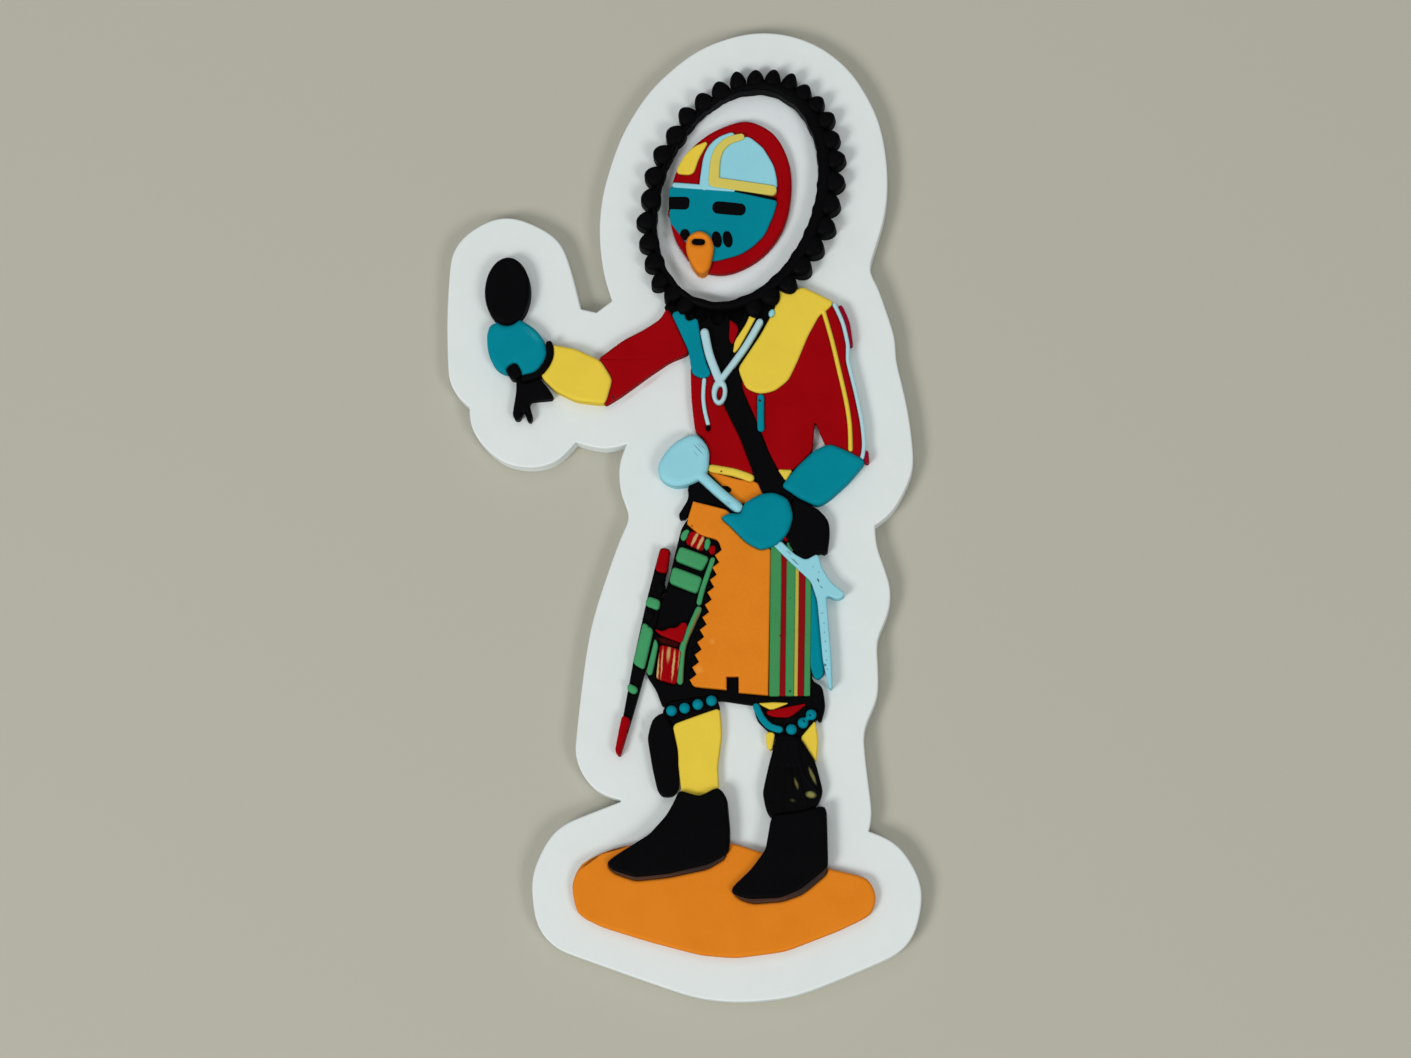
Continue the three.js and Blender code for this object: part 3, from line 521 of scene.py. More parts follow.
YELLOW = Finish("yellow_pvc", Hue.YELLOW, (0.83, 0.615, 0.062), (0.74, 0.52, 0.045))
PITTED_YELLOW = Finish("pitted_yellow_pvc", Hue.YELLOW, (0.80, 0.60, 0.07), (0.66, 0.46, 0.05), pits=0.55)
DULL_YELLOW = PITTED_YELLOW.variant("dull_yellow_pvc", colour=(0.56, 0.45, 0.072), deep=(0.44, 0.33, 0.055))
BROW_YELLOW = YELLOW.variant("brow_yellow_pvc", colour=(0.69, 0.585, 0.115), deep=(0.61, 0.51, 0.105))
TEAL = Finish("teal_pvc", Hue.TEAL, (0.0008, 0.245, 0.315), (0.0005, 0.195, 0.255), rim=0.08)
HAND_TEAL = TEAL.variant(
    "hand_teal_pvc",
    # painted highlight along the hand's upper-right shoulder; the two thin dark strokes are gouges
    Stroke((-16.3, 20.0), (-14.5, 18.2), 1.0, (0.02, 0.33, 0.40), 0.7, 1.0),
    Stroke((-16.2, 19.9), (-15.4, 18.85), 0.13, SOOT, 0.6, 0.8),
    Stroke((-15.95, 19.05), (-15.45, 18.5), 0.12, SOOT, 0.3, 0.8),
    wobble=0.05,
)
TAB_TEAL = TEAL.variant("tab_teal_pvc", Stroke((7.6, 11.8), (7.65, 11.7), 0.34, SOOT))
SKY = Finish("sky_pvc", Hue.SKY, (0.30, 0.66, 0.745), (0.26, 0.58, 0.67))
GOURD_SKY = SKY.variant(
    "gourd_sky_pvc",
    Stroke((0.79, 6.71), (1.57, 5.85), 0.11, SCRATCH, 0.45, 0.7),
    Stroke((0.84, 7.41), (2.03, 6.06), 0.14, SCRATCH, 0.7, 0.7),
    Stroke((1.12, 7.50), (1.89, 6.69), 0.11, SCRATCH, 0.5, 0.7),
    Stroke((1.39, 7.53), (2.26, 6.58), 0.12, SCRATCH, 0.55, 0.7),
    Stroke((4.2, 1.35), (4.7, 1.0), 0.5, SCRATCH, 0.35, 1.0),
    wobble=0.03,
)
PALE_SKY = Finish("pale_sky_pvc", Hue.SKY, (0.46, 0.68, 0.72), (0.39, 0.60, 0.64))
QUILL_DOTS = [(13.85 + 0.06 * k, -11.1 - 0.92 * k) for k in range(6)]  # a row down the hanging feather
FEATHER_SKY = SKY.variant(
    "feather_sky_pvc",
    Stroke((13.23, -6.62), (13.42, -6.99), 0.2, SOOT, 1.0, 0.6),
    Stroke((13.53, -7.39), (13.72, -7.6), 0.15, SCRATCH, 0.8),
    Stroke((10.61, -4.5), (11.45, -5.25), 0.17, SCRATCH, 0.8),
    Stroke((10.22, -3.76), (10.72, -4.27), 0.13, SCRATCH, 0.6),
    Stroke((12.85, -5.43), (12.85, -5.45), 0.16, SCRATCH, 0.7),
    Stroke((13.4, -6.0), (13.42, -6.0), 0.16, SCRATCH, 0.7),
    Stroke((13.55, -10.15), (13.85, -10.15), 0.2, SCRATCH, 0.6, 0.9),
    *(Stroke((x, y), (x, y - 0.1), 0.22, SCRATCH, 0.55, 0.9) for x, y in QUILL_DOTS),
    pits=0.05,
)
ORANGE = Finish("orange_pvc", Hue.ORANGE, (0.78, 0.235, 0.016), (0.68, 0.185, 0.008))
BASE_ORANGE = ORANGE.variant(
    "base_orange_pvc",
    # painted shade: a dark line in the gap along the base's top-left edge
    Stroke((-10.5, -35.4), (-7.7, -33.35), 0.34, UMBER_EDGE_SHADE, 0.8, 0.8),
    Stroke((-8.4, -33.75), (-4.9, -32.72), 0.34, UMBER_EDGE_SHADE, 0.9, 0.8),
    wobble=0.05,
)
APRON_ORANGE = ORANGE.variant(
    "apron_orange_pvc",
    # painted highlights: the two soft lighter orange patches
    Stroke((2.75, -12.7), (2.85, -12.9), 0.7, (0.88, 0.40, 0.08), 0.4, 1.0),
    Stroke((1.4, -15.5), (1.6, -15.7), 1.1, (0.88, 0.40, 0.08), 0.45, 1.0),
    Stroke((0.75, -1.0), (0.85, -1.1), 0.3, (0.30, 0.08, 0.005), 1.0, 0.8),
)
GREEN = Finish("green_pvc", Hue.GREEN, (0.06, 0.33, 0.13), (0.045, 0.26, 0.10), pits=0.06)
STRIPE_GREEN = GREEN.variant(
    "stripe_green_pvc",
    colour=(0.058, 0.288, 0.096),
    deep=(0.043, 0.228, 0.075),
    pits=0.22,
)
EDGE_GREEN = GREEN.variant(
    "edge_green_pvc",
    Stroke((1.85, -8.9), (0.05, -13.4), 0.36, RUST, 0.9, 0.5),
    Stroke((0.3, -12.4), (-0.2, -17.4), 0.32, RUST, 0.9, 0.5),
)
BROWN = Finish(
    "brown_pvc",
    Hue.BROWN,
    (0.085, 0.04, 0.025),
    (0.05, 0.024, 0.016),
    strokes=(
        Stroke((-1.6, -36.4), (5.4, -33.4), 2.6, SOOT, 0.75, 1.0),
        Stroke((9.6, -38.8), (15.2, -34.4), 2.6, SOOT, 0.75, 1.0),
    ),
)


@dataclass
class Island:
    """One flat top of the moulding, with the closed lines around it, in millimetres."""

    rise: float
    triangles: list[list[Vector]]
    lines: list[list[Vector]]

    @property
    def area(self) -> float:
        """The top's area in square millimetres."""
        return sum(abs((b - a).cross(c - a)) / 2 for a, b, c in self.triangles)

    def gap(self, spot: Vector) -> float:
        """How far a point lies from the top.

        Args:
            spot: The point, in frame millimetres.

        Returns:
            Zero inside the top, else the distance to its nearest corner.
        """
        if any(intersect_point_tri_2d(spot, *corners) for corners in self.triangles):
            return 0.0
        return min((spot - corner).length for corners in self.triangles for corner in corners)


class Relief:
    """The moulding of the frame, taken apart into its flat tops."""

    LEVEL_STEP = 0.01  # tops closer in height than this are one level
    MERGE = 1e-6
    UPRIGHT = 0.99

    def __init__(self, node: bpy.types.Object) -> None:
        """Reads the flat tops off a merged copy of the node's mesh.

        Args:
            node: The moulding as packed.
        """
        copy = bmesh.new()
        copy.from_mesh(node.data)
        bmesh.ops.remove_doubles(copy, verts=copy.verts, dist=self.MERGE)
        tops = {face for face in copy.faces if face.normal.z > self.UPRIGHT}
        self.islands = [self.island(members) for members in self.groups(tops)]
        copy.free()

    @staticmethod
    def groups(tops: set[bmesh.types.BMFace]) -> list[set[bmesh.types.BMFace]]:
        """Gathers faces that touch along an edge.

        Args:
            tops: The faces that look up.

        Returns:
            The groups.
        """
        waiting = set(tops)
        found = []
        while waiting:
            front = [min(waiting, key=lambda face: face.index)]
            group = set(front)
            while front:
                around = {f for edge in front.pop().edges for f in edge.link_faces}
                fresh = (around & tops) - group
                group |= fresh
                front.extend(fresh)
            waiting -= group
            found.append(group)
        return found

    @staticmethod
    def island(members: set[bmesh.types.BMFace]) -> Island:
        """Reads one top and follows its edges round.

        Args:
            members: The faces of the top.

        Returns:
            The island.
        """
        faces = sorted(members, key=lambda face: face.index)
        sides = [side for face in faces for side in face.loops]
        edge = [s for s in sides if not members.issuperset(s.edge.link_faces)]
        waiting = dict.fromkeys(edge)
        lines = []
        while waiting:
            line = []
            side = next(iter(waiting))
            while side in waiting:
                del waiting[side]
                line.append(side.vert.co.xy / MM)
                side = side.link_loop_next
                while members.issuperset(side.edge.link_faces):
                    side = side.link_loop_radial_next.link_loop_next
            lines.append(line)
        triangles = [[corner.co.xy / MM for corner in face.verts] for face in faces]
        height = faces[0].verts[0].co.z / MM
        return Island(height - BACKING, triangles, lines)

    def level(self, rise: float, spot: Place) -> list[Island]:
        """The tops at one height over the backing, from the nearest to a spot to the farthest."""
        found = [island for island in self.islands if abs(island.rise - rise) < self.LEVEL_STEP]
        return sorted(found, key=lambda island: island.gap(in_frame(spot)))

    def share_out(self, fields: Iterable["Field"]) -> dict[str, list[Island]]:
        """Gives every top to the field of its own level with the nearest spot.

        Args:
            fields: All the fields of the figure.

        Returns:
            The tops of each field, by its name.
        """
        spots = [(rise, in_frame(at), f.name) for f in fields for rise, *at in f.spots]
        shares = {f.name: [] for f in fields}
        for island in self.islands:
            rivals = [spot for spot in spots if abs(spot[0] - island.rise) < self.LEVEL_STEP]
            if rivals:
                shares[min(rivals, key=lambda spot: island.gap(spot[1]))[2]].append(island)
        return shares


class Outline:
    """Draws the few points of a moulding's edge as one smooth closed line."""

    STEP = 0.15  # spacing of the points of a drawn line
    NEAR = 0.05  # points closer than this are one
    CORNER = 58.0  # degrees: a sharper turn than this stays a corner
    EASE = 150  # rounds of easing
    PINNED = math.radians(35)  # a sharper turn than this is not eased

    @staticmethod
    def area(line: list[Vector]) -> float:
        """The area inside a line, negative where it runs clockwise."""
        return sum(line[i - 1].cross(point) for i, point in enumerate(line)) / 2

    @classmethod
    def cleaned(cls, line: list[Vector]) -> list[Vector]:
        """Leaves out points that lie on top of the one before."""
        return [p for i, p in enumerate(line) if (p - line[i - 1]).length > cls.NEAR]

    @staticmethod
    def shifted(line: list[Vector], distance: float) -> list[Vector]:
        """Moves a line sideways.

        Args:
            line: The closed line.
            distance: How far it goes to its left, or to its right if negative.

        Returns:
            The moved line.
        """
        count = len(line)
        moved = []
        for i, point in enumerate(line):
            along = (line[(i + 1) % count] - line[i - 1]).normalized()
            moved.append(point + Vector((-along.y, along.x)) * distance)
        return moved

    @classmethod
    def eased(cls, line: list[Vector]) -> list[Vector]:
        """Takes the last facets out of a drawn line, but for its sharp corners.

        Args:
            line: The drawn line.

        Returns:
            The eased line.
        """
        count = len(line)
        legs = [line[(i + 1) % count] - line[i] for i in range(count)]
        free = [abs(legs[i - 1].angle_signed(legs[i], 0.0)) < cls.PINNED for i in range(count)]
        for _ in range(cls.EASE):
            line = [
                (line[i - 1] + line[i] * 2 + line[(i + 1) % count]) / 4 if free[i] else line[i]
                for i in range(count)
            ]
        return line

    @classmethod
    def drawn(cls, line: list[Vector], corner: float = CORNER) -> list[Vector]:
        """Runs a smooth line through an outline's points, keeping its corners.

        Args:
            line: The outline as it is on the moulding.
            corner: Degrees that a turn has to pass to stay a corner.

        Returns:
            Closely spaced points along the smooth line.
        """
        points = cls.cleaned(line)
        count = len(points)
        legs = [points[(i + 1) % count] - points[i] for i in range(count)]
        leave, arrive = [], []
        for i, leg in enumerate(legs):
            before = legs[i - 1]
            if abs(before.angle_signed(leg, 0.0)) > math.radians(corner):
                arrive.append(before)
                leave.append(leg)
            else:
                reach = min(before.length, leg.length)
                along = (before.normalized() + leg.normalized()).normalized() * reach
                arrive.append(along)
                leave.append(along)
        smooth = []
        for i, leg in enumerate(legs):
            j = (i + 1) % count
            steps = max(1, math.ceil(leg.length / cls.STEP))
            ends = (points[i], leave[i], points[j], arrive[j])
            smooth.extend(cls.between(*ends, k / steps) for k in range(steps))
        return smooth

    @staticmethod
    def between(start: Vector, leave: Vector, end: Vector, arrive: Vector, share: float) -> Vector:
        """A point on the curve from start to end with these directions.

        Args:
            start: Where the curve starts.
            leave: Its direction there.
            end: Where it ends.
            arrive: Its direction there.
            share: How far along it the point is, from 0 to 1.

        Returns:
            The point.
        """
        square, cube = share**2, share**3
        swing = 3 * square - 2 * cube
        bend = leave * (share - 2 * square + cube) + arrive * (cube - square)
        return start.lerp(end, swing) + bend


class Casting:
    """Builds the closed solid of one field: wall, rounded shoulder and flat top over each of its outlines."""

    ROUNDS = 4  # steps round a shoulder
    LAND = 0.12  # flat strip inside a shoulder
    KEEP = 0.8  # share of the way to the middle that a shoulder may take
    FINE = 0.04  # spacing of the points that distances are measured to
    SLOPE = 0.7  # most that a shoulder's width changes along the edge
    SHARPEST = 0.5  # least cosine that a corner is drawn out by
    SEARCH = 7  # halvings on the way to a shoulder's width
    NEAREST = 0.97  # share of a step in by which its own edge has to stay the nearest

    def __init__(self, shoulder: Shoulder) -> None:
        """Starts an empty mesh.

        Args:
            shoulder: How the rim is rounded.
        """
        self.shoulder = shoulder
        self.mesh = bmesh.new()
        self.rim = self.mesh.verts.layers.float.new(RIM)

    @classmethod
    def marks(cls, lines: list[list[Vector]]) -> KDTree:
        """Close points along the lines, to measure distances to.

        Args:
            lines: The closed outlines.

        Returns:
            A search tree of the points.
        """
        places = []
        for line in lines:
            for i, point in enumerate(line):
                steps = max(1, math.ceil((point - line[i - 1]).length / cls.FINE))
                places.extend(line[i - 1].lerp(point, k / steps) for k in range(steps))
        tree = KDTree(len(places))
        for i, place in enumerate(places):
            tree.insert(place.to_3d(), i)
        tree.balance()
        return tree

    def widths(self, line: list[Vector], marks: KDTree) -> tuple[list[Vector], list[float]]:
        """Which way and how far the shoulder may run in from each point of a line.

        Args:
            line: A closed outline with the field on its left.
            marks: The search tree of all the field's outlines.

        Returns:
            The inward direction and the free width at each point.
        """
        count = len(line)
        wanted = (self.shoulder.run + self.LAND) / self.KEEP
        inward, width = [], []
        for i, point in enumerate(line):
            before = (point - line[i - 1]).normalized()
            after = (line[(i + 1) % count] - point).normalized()
            along = (before + after).normalized()
            bend = max(self.SHARPEST, along.dot(after))
            turns_in = before.cross(after) > 0
            side = Vector((-along.y, along.x)) / (bend if turns_in else 1.0)
            low, high = 0.0, wanted
            for _ in range(self.SEARCH):
                middle = (low + high) / 2
                free = marks.find((point + side * middle).to_3d())[2]
                low, high = (middle, high) if free > self.NEAREST * middle else (low, middle)
            inward.append(side)
            width.append(low * self.KEEP)
        for order in (range(count), range(count - 1, -1, -1)):
            step = 1 if order.step > 0 else -1
            for i in order:
                last = (i - step) % count
                width[i] = min(width[i], width[last] + (line[i] - line[last]).length * self.SLOPE)
        return inward, width

    def ring(self, verts: list, edges: list, places: list[Vector], rims: list[float]) -> tuple[list, list]:
        """Extrudes a ring of edges to new places.

        Args:
            verts: The ring's vertices in order.
            edges: Its edges.
            places: Where the new vertices go.
            rims: Their rim values.

        Returns:
            The new ring's vertices in order, and its edges.
        """
        made = bmesh.ops.extrude_edge_only(self.mesh, edges=edges)["geom"]
        fresh = {item for item in made if isinstance(item, bmesh.types.BMVert)}
        order = []
        for vert, place, value in zip(verts, places, rims):
            new = next(o for o in (e.other_vert(vert) for e in vert.link_edges) if o in fresh)
            new.co = place * MM
            new[self.rim] = value
            order.append(new)
        rest = [e for e in made if isinstance(e, bmesh.types.BMEdge) and fresh.issuperset(e.verts)]
        return order, rest

    def depth(self, distance: float) -> float:
        """How far the shoulder lies below the top at a distance from the edge."""
        inside = max(0.0, 1 - distance / self.shoulder.run)
        return self.shoulder.fall * (1 - math.sqrt(1 - inside**2))

    def pour(self, lines: list[list[Vector]], rise: float, foot: float = FOOT, toe: float = 0.0) -> None:
        """Fills closed outlines with PVC.

        Args:
            lines: The smooth outlines, with the field on their left.
            rise: Height of the flat top over the backing.
            foot: Height of the underside.
            toe: How far the lower rim is rounded off.
        """
        top = BACKING + rise
        marks = self.marks(lines)
        feet, crowns = [], []
        fall = self.shoulder.fall
        for line in lines:
            inward, width = self.widths(line, marks)
            start = [p + side * min(toe, w) for p, side, w in zip(line, inward, width)]
            verts = [self.mesh.verts.new((*place, foot)) for place in start]
            for vert in verts:
                vert.co *= MM
                vert[self.rim] = 1.0
            edges = [self.mesh.edges.new((verts[i - 1], vert)) for i, vert in enumerate(verts)]
            for edge in edges:
                edge.smooth = False
            feet.extend(edges)
            ones = [1.0] * len(line)
            if toe:
                places = [Vector((*p, foot + toe)) for p in line]
                verts, edges = self.ring(verts, edges, places, ones)
            verts, edges = self.ring(verts, edges, [Vector((*p, top - fall)) for p in line], ones)
            turn = math.pi / 2 / self.ROUNDS
            share = self.shoulder.run / (self.shoulder.run + self.LAND)
            reaches = [(1 - math.cos(turn * (k + 1))) * share for k in range(self.ROUNDS)] + [1.0]
            for reach in reaches:
                runs = [w * reach for w in width]
                falls = [self.depth(run) for run in runs]
                flat = [p + side * run for p, side, run in zip(line, inward, runs)]
                places = [Vector((*p, top - drop)) for p, drop in zip(flat, falls)]
                verts, edges = self.ring(verts, edges, places, [drop / fall for drop in falls])
            crowns.extend(edges)
        bmesh.ops.triangle_fill(self.mesh, use_beauty=True, edges=crowns, normal=(0, 0, 1))
        bmesh.ops.triangle_fill(self.mesh, use_beauty=True, edges=feet, normal=(0, 0, -1))

    def release(self, name: str, finish: Finish) -> None:
        """Takes the mesh out of its mould, as a piece that rides on the part.

        Args:
            name: The piece's name.
            finish: What it is made of.
        """
        bmesh.ops.recalc_face_normals(self.mesh, faces=self.mesh.faces)
        for face in self.mesh.faces:
            face.smooth = True
        open_edges = sum(not edge.is_manifold for edge in self.mesh.edges)
        data = bpy.data.meshes.new(name)
        self.mesh.to_mesh(data)
        self.mesh.free()
        data.materials.append(finish.material())
        piece = bpy.data.objects.new(name, data)
        bpy.context.scene.collection.objects.link(piece)
        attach(piece, BODY)
        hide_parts(NODE)
        log.info("%s: %d faces, %d open edges", name, len(data.polygons), open_edges)


@dataclass(frozen=True)
class Field:
    """One poured colour of the figure: its tops are those nearest to its spots."""

    name: str
    finish: Finish
    spots: tuple[Triple, ...]  # rise above the backing, then the place on the drawing
    shoulder: Shoulder = Shoulder.CRISP
    sink: float = 0.0  # how far the top is lowered, where finer relief stands on it
    spread: float = 0.0  # how far the colour has run past its outline
    corner: float = Outline.CORNER  # degrees that a turn has to pass to stay a corner
    filled: bool = False  # whether it also runs under the tops that stand in it

    SMALLEST = 0.02  # smaller tops than this are left as a dark gap

    def build(self, islands: list[Island]) -> None:
        """Casts the field over its tops.

        Args:
            islands: The field's share of the moulding.
        """
        casting = Casting(self.shoulder)
        for island in islands:
            if island.area < self.SMALLEST:
                continue
            edges = [max(island.lines, key=Outline.area)] if self.filled else island.lines
            lines = [drawn for line in edges if len(drawn := Outline.drawn(line, self.corner)) > 2]
            if self.spread:
                lines = [Outline.shifted(line, -self.spread) for line in lines]
            casting.pour(lines, island.rise - self.sink)
        casting.release(self.name, self.finish)


@dataclass
class Assembly:
    """A part of the figure, poured from its own fields."""

    fields: tuple[Field, ...] = ()

    def build(self, shares: dict[str, list[Island]]) -> None:
        """Casts its fields, each over its share of the moulding's tops."""
        for poured in self.fields:
            poured.build(shares[poured.name])


@dataclass
class Backing:
    """The white sheet that everything is poured on, and the lowest pours on it."""

    spot: Place = (20.0, 30.0)
    toe: float = 0.2
    shoulder: Shoulder = Shoulder.CRISP
    ground_rise: float = 0.25
    ground_inset: float = 0.12
    ground_strip: float = 0.15  # width of the ground under the ruff's band
    smallest_opening: float = 1.0  # square millimetres of white that the ground leaves open
    halo_spot: Place = (12.0, 34.0)
    halo_rise: float = 0.04
    mask_rise: float = 0.85

    def build(self, relief: Relief, ruff: "Ruff") -> None:
        """Casts the sheet, the white ring round the mask, and the grounds under mask and figure.

        Args:
            relief: The moulding's tops.
            ruff: The feathers, between which the sheet shows.
        """
        sheet, *windows = relief.level(0.0, self.spot)
        edge = max(sheet.lines, key=Outline.area)
        casting = Casting(self.shoulder)
        casting.pour([Outline.eased(Outline.drawn(edge))], 0.0, 0.0, self.toe)
        casting.release("backing", STAINED_AND_SHADED_WHITE)
        inner = min(windows, key=lambda window: window.gap(in_frame(self.halo_spot)))
        rings = [Outline.drawn(line) for line in inner.lines]
        hole = Outline.shifted(min(rings, key=Outline.area), -self.ground_inset)
        figures = [line for line in sheet.lines if line is not edge]
        openings = [w for w in windows if w.area > self.smallest_opening and w is not inner]
        figures += [line for opening in openings for line in opening.lines]
        shrunk = [Outline.shifted(Outline.drawn(line), -self.ground_inset) for line in figures]
        shrunk = [Outline.cleaned(ruff.drawn_in(line)) for line in shrunk]
        shrunk.append(ruff.oval(ruff.clear + self.ground_strip))
        for name, finish, lines, rise in (
            ("halo", HALO_WHITE, rings, self.halo_rise),
            ("mask_ground", RED, [hole[::-1]], self.mask_rise),
            ("ground", BLACK, [line[::-1] for line in shrunk], self.ground_rise),
        ):
            casting = Casting(Shoulder.FINE)
            casting.pour(lines, rise)
            casting.release(name, finish)


@dataclass
class Ruff:
    """The ring of feathers round the head: a smooth band with a row of domed feathers round it."""

    middle: Place = (5.8, 33.43)
    long: float = 14.0
    short: float = 10.12
    lean: float = 71.5
    feathers: int = 33
    length: float = 2.1
    share: float = 0.85  # how much of its place on the oval a feather fills
    taper: float = 0.2  # how much narrower a feather is at its tip
    top: float = 2.0
    dip: float = 4.0  # degrees that a feather's inner end dips into the band
    band: float = 1.45  # how far the band's edge lies inside the tips
    band_sink: float = 0.1
    clear: float = 1.6  # how far inside the tips the ground stays
    spot: Place = (18.0, 36.0)
    shoulder: Shoulder = Shoulder.PILLOW
    vary: float = 0.07  # share by which the feathers' widths differ
    uneven: float = 0.14  # how far their tips stray
    neck: Place = (3.3, 19.8)  # where the neck hides the feathers
    neck_reach: float = 2.3
    wave: float = 0.035  # how far the inner edge strays
    waves: int = 37

    PACE = 2.3  # radians from one feather's share of the unevenness to the next
    SIDES = 28
    ROUND = 240
    OUTSIDE = 1.03  # share of the oval out to which a line counts as among the feathers
    ARC_STEP = 0.01

    @property
    def turned(self) -> Matrix:
        """The turn of the oval."""
        return Matrix.Rotation(math.radians(self.lean), 2)

    def tip(self, turn: float, inset: float = 0.0) -> Vector:
        """A place on the oval of the tips, at a turn in radians, or on one drawn inside it."""
        place = Vector((math.cos(turn) * (self.long - inset), math.sin(turn) * (self.short - inset)))
        return self.turned @ place + Vector(self.middle) + DRAWING_ZERO

    def oval(self, inset: float) -> list[Vector]:
        """A smooth oval line that far inside the tips."""
        return [self.tip(2 * math.pi * k / self.ROUND, inset) for k in range(self.ROUND)]

    def drawn_in(self, line: list[Vector]) -> list[Vector]:
        """Draws the stretch of a line that runs among the feathers in under the band.

        Args:
            line: An outline of the figure, run clockwise.

        Returns:
            The line with that stretch as an even arc.
        """
        kept = []
        last = math.inf
        for point in line:
            place = self.turned.inverted() @ (point - Vector(self.middle) - DRAWING_ZERO)
            share = Vector((place.x / self.long, place.y / self.short))
            if not 1 - self.clear / self.short < share.length < self.OUTSIDE:
                kept.append(point)
                last = math.inf
                continue
            turn = math.atan2(share.y, share.x)
            ahead = last - turn
            if ahead > self.ARC_STEP or ahead < -math.pi:
                kept.append(self.tip(turn, self.clear))
                last = turn
        return kept

    def strayed(self, point: Vector) -> Vector:
        """Moves a point of the inner edge in or out, as a hand-cut line strays.

        Args:
            point: The point.

        Returns:
            Its new place.
        """
        out = point - Vector(self.middle) - DRAWING_ZERO
        turn = math.atan2(out.y, out.x)
        sway = math.sin(self.waves * turn) + math.sin(self.waves * turn / 2 + self.PACE)
        return point + out.normalized() * self.wave * sway

    def build(self, relief: Relief) -> None:
        """Casts the band and the feathers.

        Args:
            relief: The moulding's tops.
        """
        ring = relief.level(self.top, self.spot)[0]
        inner = Outline.drawn(min(ring.lines, key=Outline.area))
        inner = [self.strayed(point) for point in inner]
        casting = Casting(Shoulder.ROUND)
        casting.pour([self.oval(self.band), inner], self.top - self.band_sink)
        casting.release("ruff_band", BLACK)
        casting = Casting(self.shoulder)
        for i in range(self.feathers):
            turn = 2 * math.pi * (i + 0.5) / self.feathers
            if (self.tip(turn) - Vector(self.neck) - DRAWING_ZERO).length > self.neck_reach:
                self.feather(casting, turn, math.sin(self.PACE * i))
        casting.release("ruff_feathers", BLACK)

    def feather(self, casting: Casting, turn: float, sway: float) -> None:
        """Casts one feather, dipped into the band.

        Args:
            casting: The mesh of all the feathers.
            turn: Its place round the oval, in radians.
            sway: How it differs from its neighbours, from -1 to 1.
        """
        tip = self.tip(turn, self.uneven * sway)
        half_turn = math.pi / self.feathers
        place = (self.tip(turn + half_turn) - self.tip(turn - half_turn)).length
        width = place * self.share * (1 + self.vary * sway)
        out = self.turned @ Vector((math.cos(turn), math.sin(turn)))
        across = Vector((-out.y, out.x))
        outline = []
        for k in range(self.SIDES):
            angle = 2 * math.pi * k / self.SIDES
            inward = out * (1 - math.cos(angle)) * self.length / 2
            half = width / 2 * (1 - self.taper * math.cos(angle))
            outline.append(tip - inward + across * math.sin(angle) * half)
        before = set(casting.mesh.verts)
        casting.pour([outline], self.top)
        fresh = [vert for vert in casting.mesh.verts if vert not in before]
        dipped = Matrix.Rotation(math.radians(-self.dip), 3, across.to_3d())
        hinge = Vector((*tip, BACKING + self.top)) * MM
        bmesh.ops.rotate(casting.mesh, verts=fresh, cent=hinge, matrix=dipped)


@dataclass
class Head(Assembly):
    """The mask inside its ruff."""

    fields: tuple[Field, ...] = (
        Field("mask_disc", RED, ((1.0, 10.2, 35.0),), Shoulder.SOFT),
        Field("mask_face", TEAL, ((1.2, 4.5, 30.3),), spread=0.07),
        Field("mask_eyes", BLACK, ((0.95, 4.5, 32.1), (0.95, -0.6, 32.8)), sink=-0.28, spread=0.15),
        Field(
            "mask_marks",
            BLACK,
            ((1.05, 3.3, 28.8), (1.05, 4.4, 28.8), (1.05, 0.1, 29.5)),
            Shoulder.CRISP,
            sink=-0.25,
            spread=0.12,
        ),
        Field("mask_brow_line", BLACK, ((1.25, 7.3, 33.5),), Shoulder.FINE),
        Field("mask_crest", YELLOW, ((1.2, 0.7, 37.5),), spread=0.07),
        Field("mask_brow", BROW_YELLOW, ((1.4, 6.0, 34.5),), Shoulder.FINE, spread=0.05),
        Field("mask_quarter", SKY, ((1.2, 6.4, 36.9),), spread=0.07),
        Field("mask_arch", SKY, ((1.3, 2.3, 36.5),), spread=0.05),
        Field("beak", ORANGE, ((1.8, 1.6, 27.0),), Shoulder.ROUND),
        Field("beak_mouth", BLACK, ((1.6, 1.45, 28.5),), Shoulder.FINE),
    )


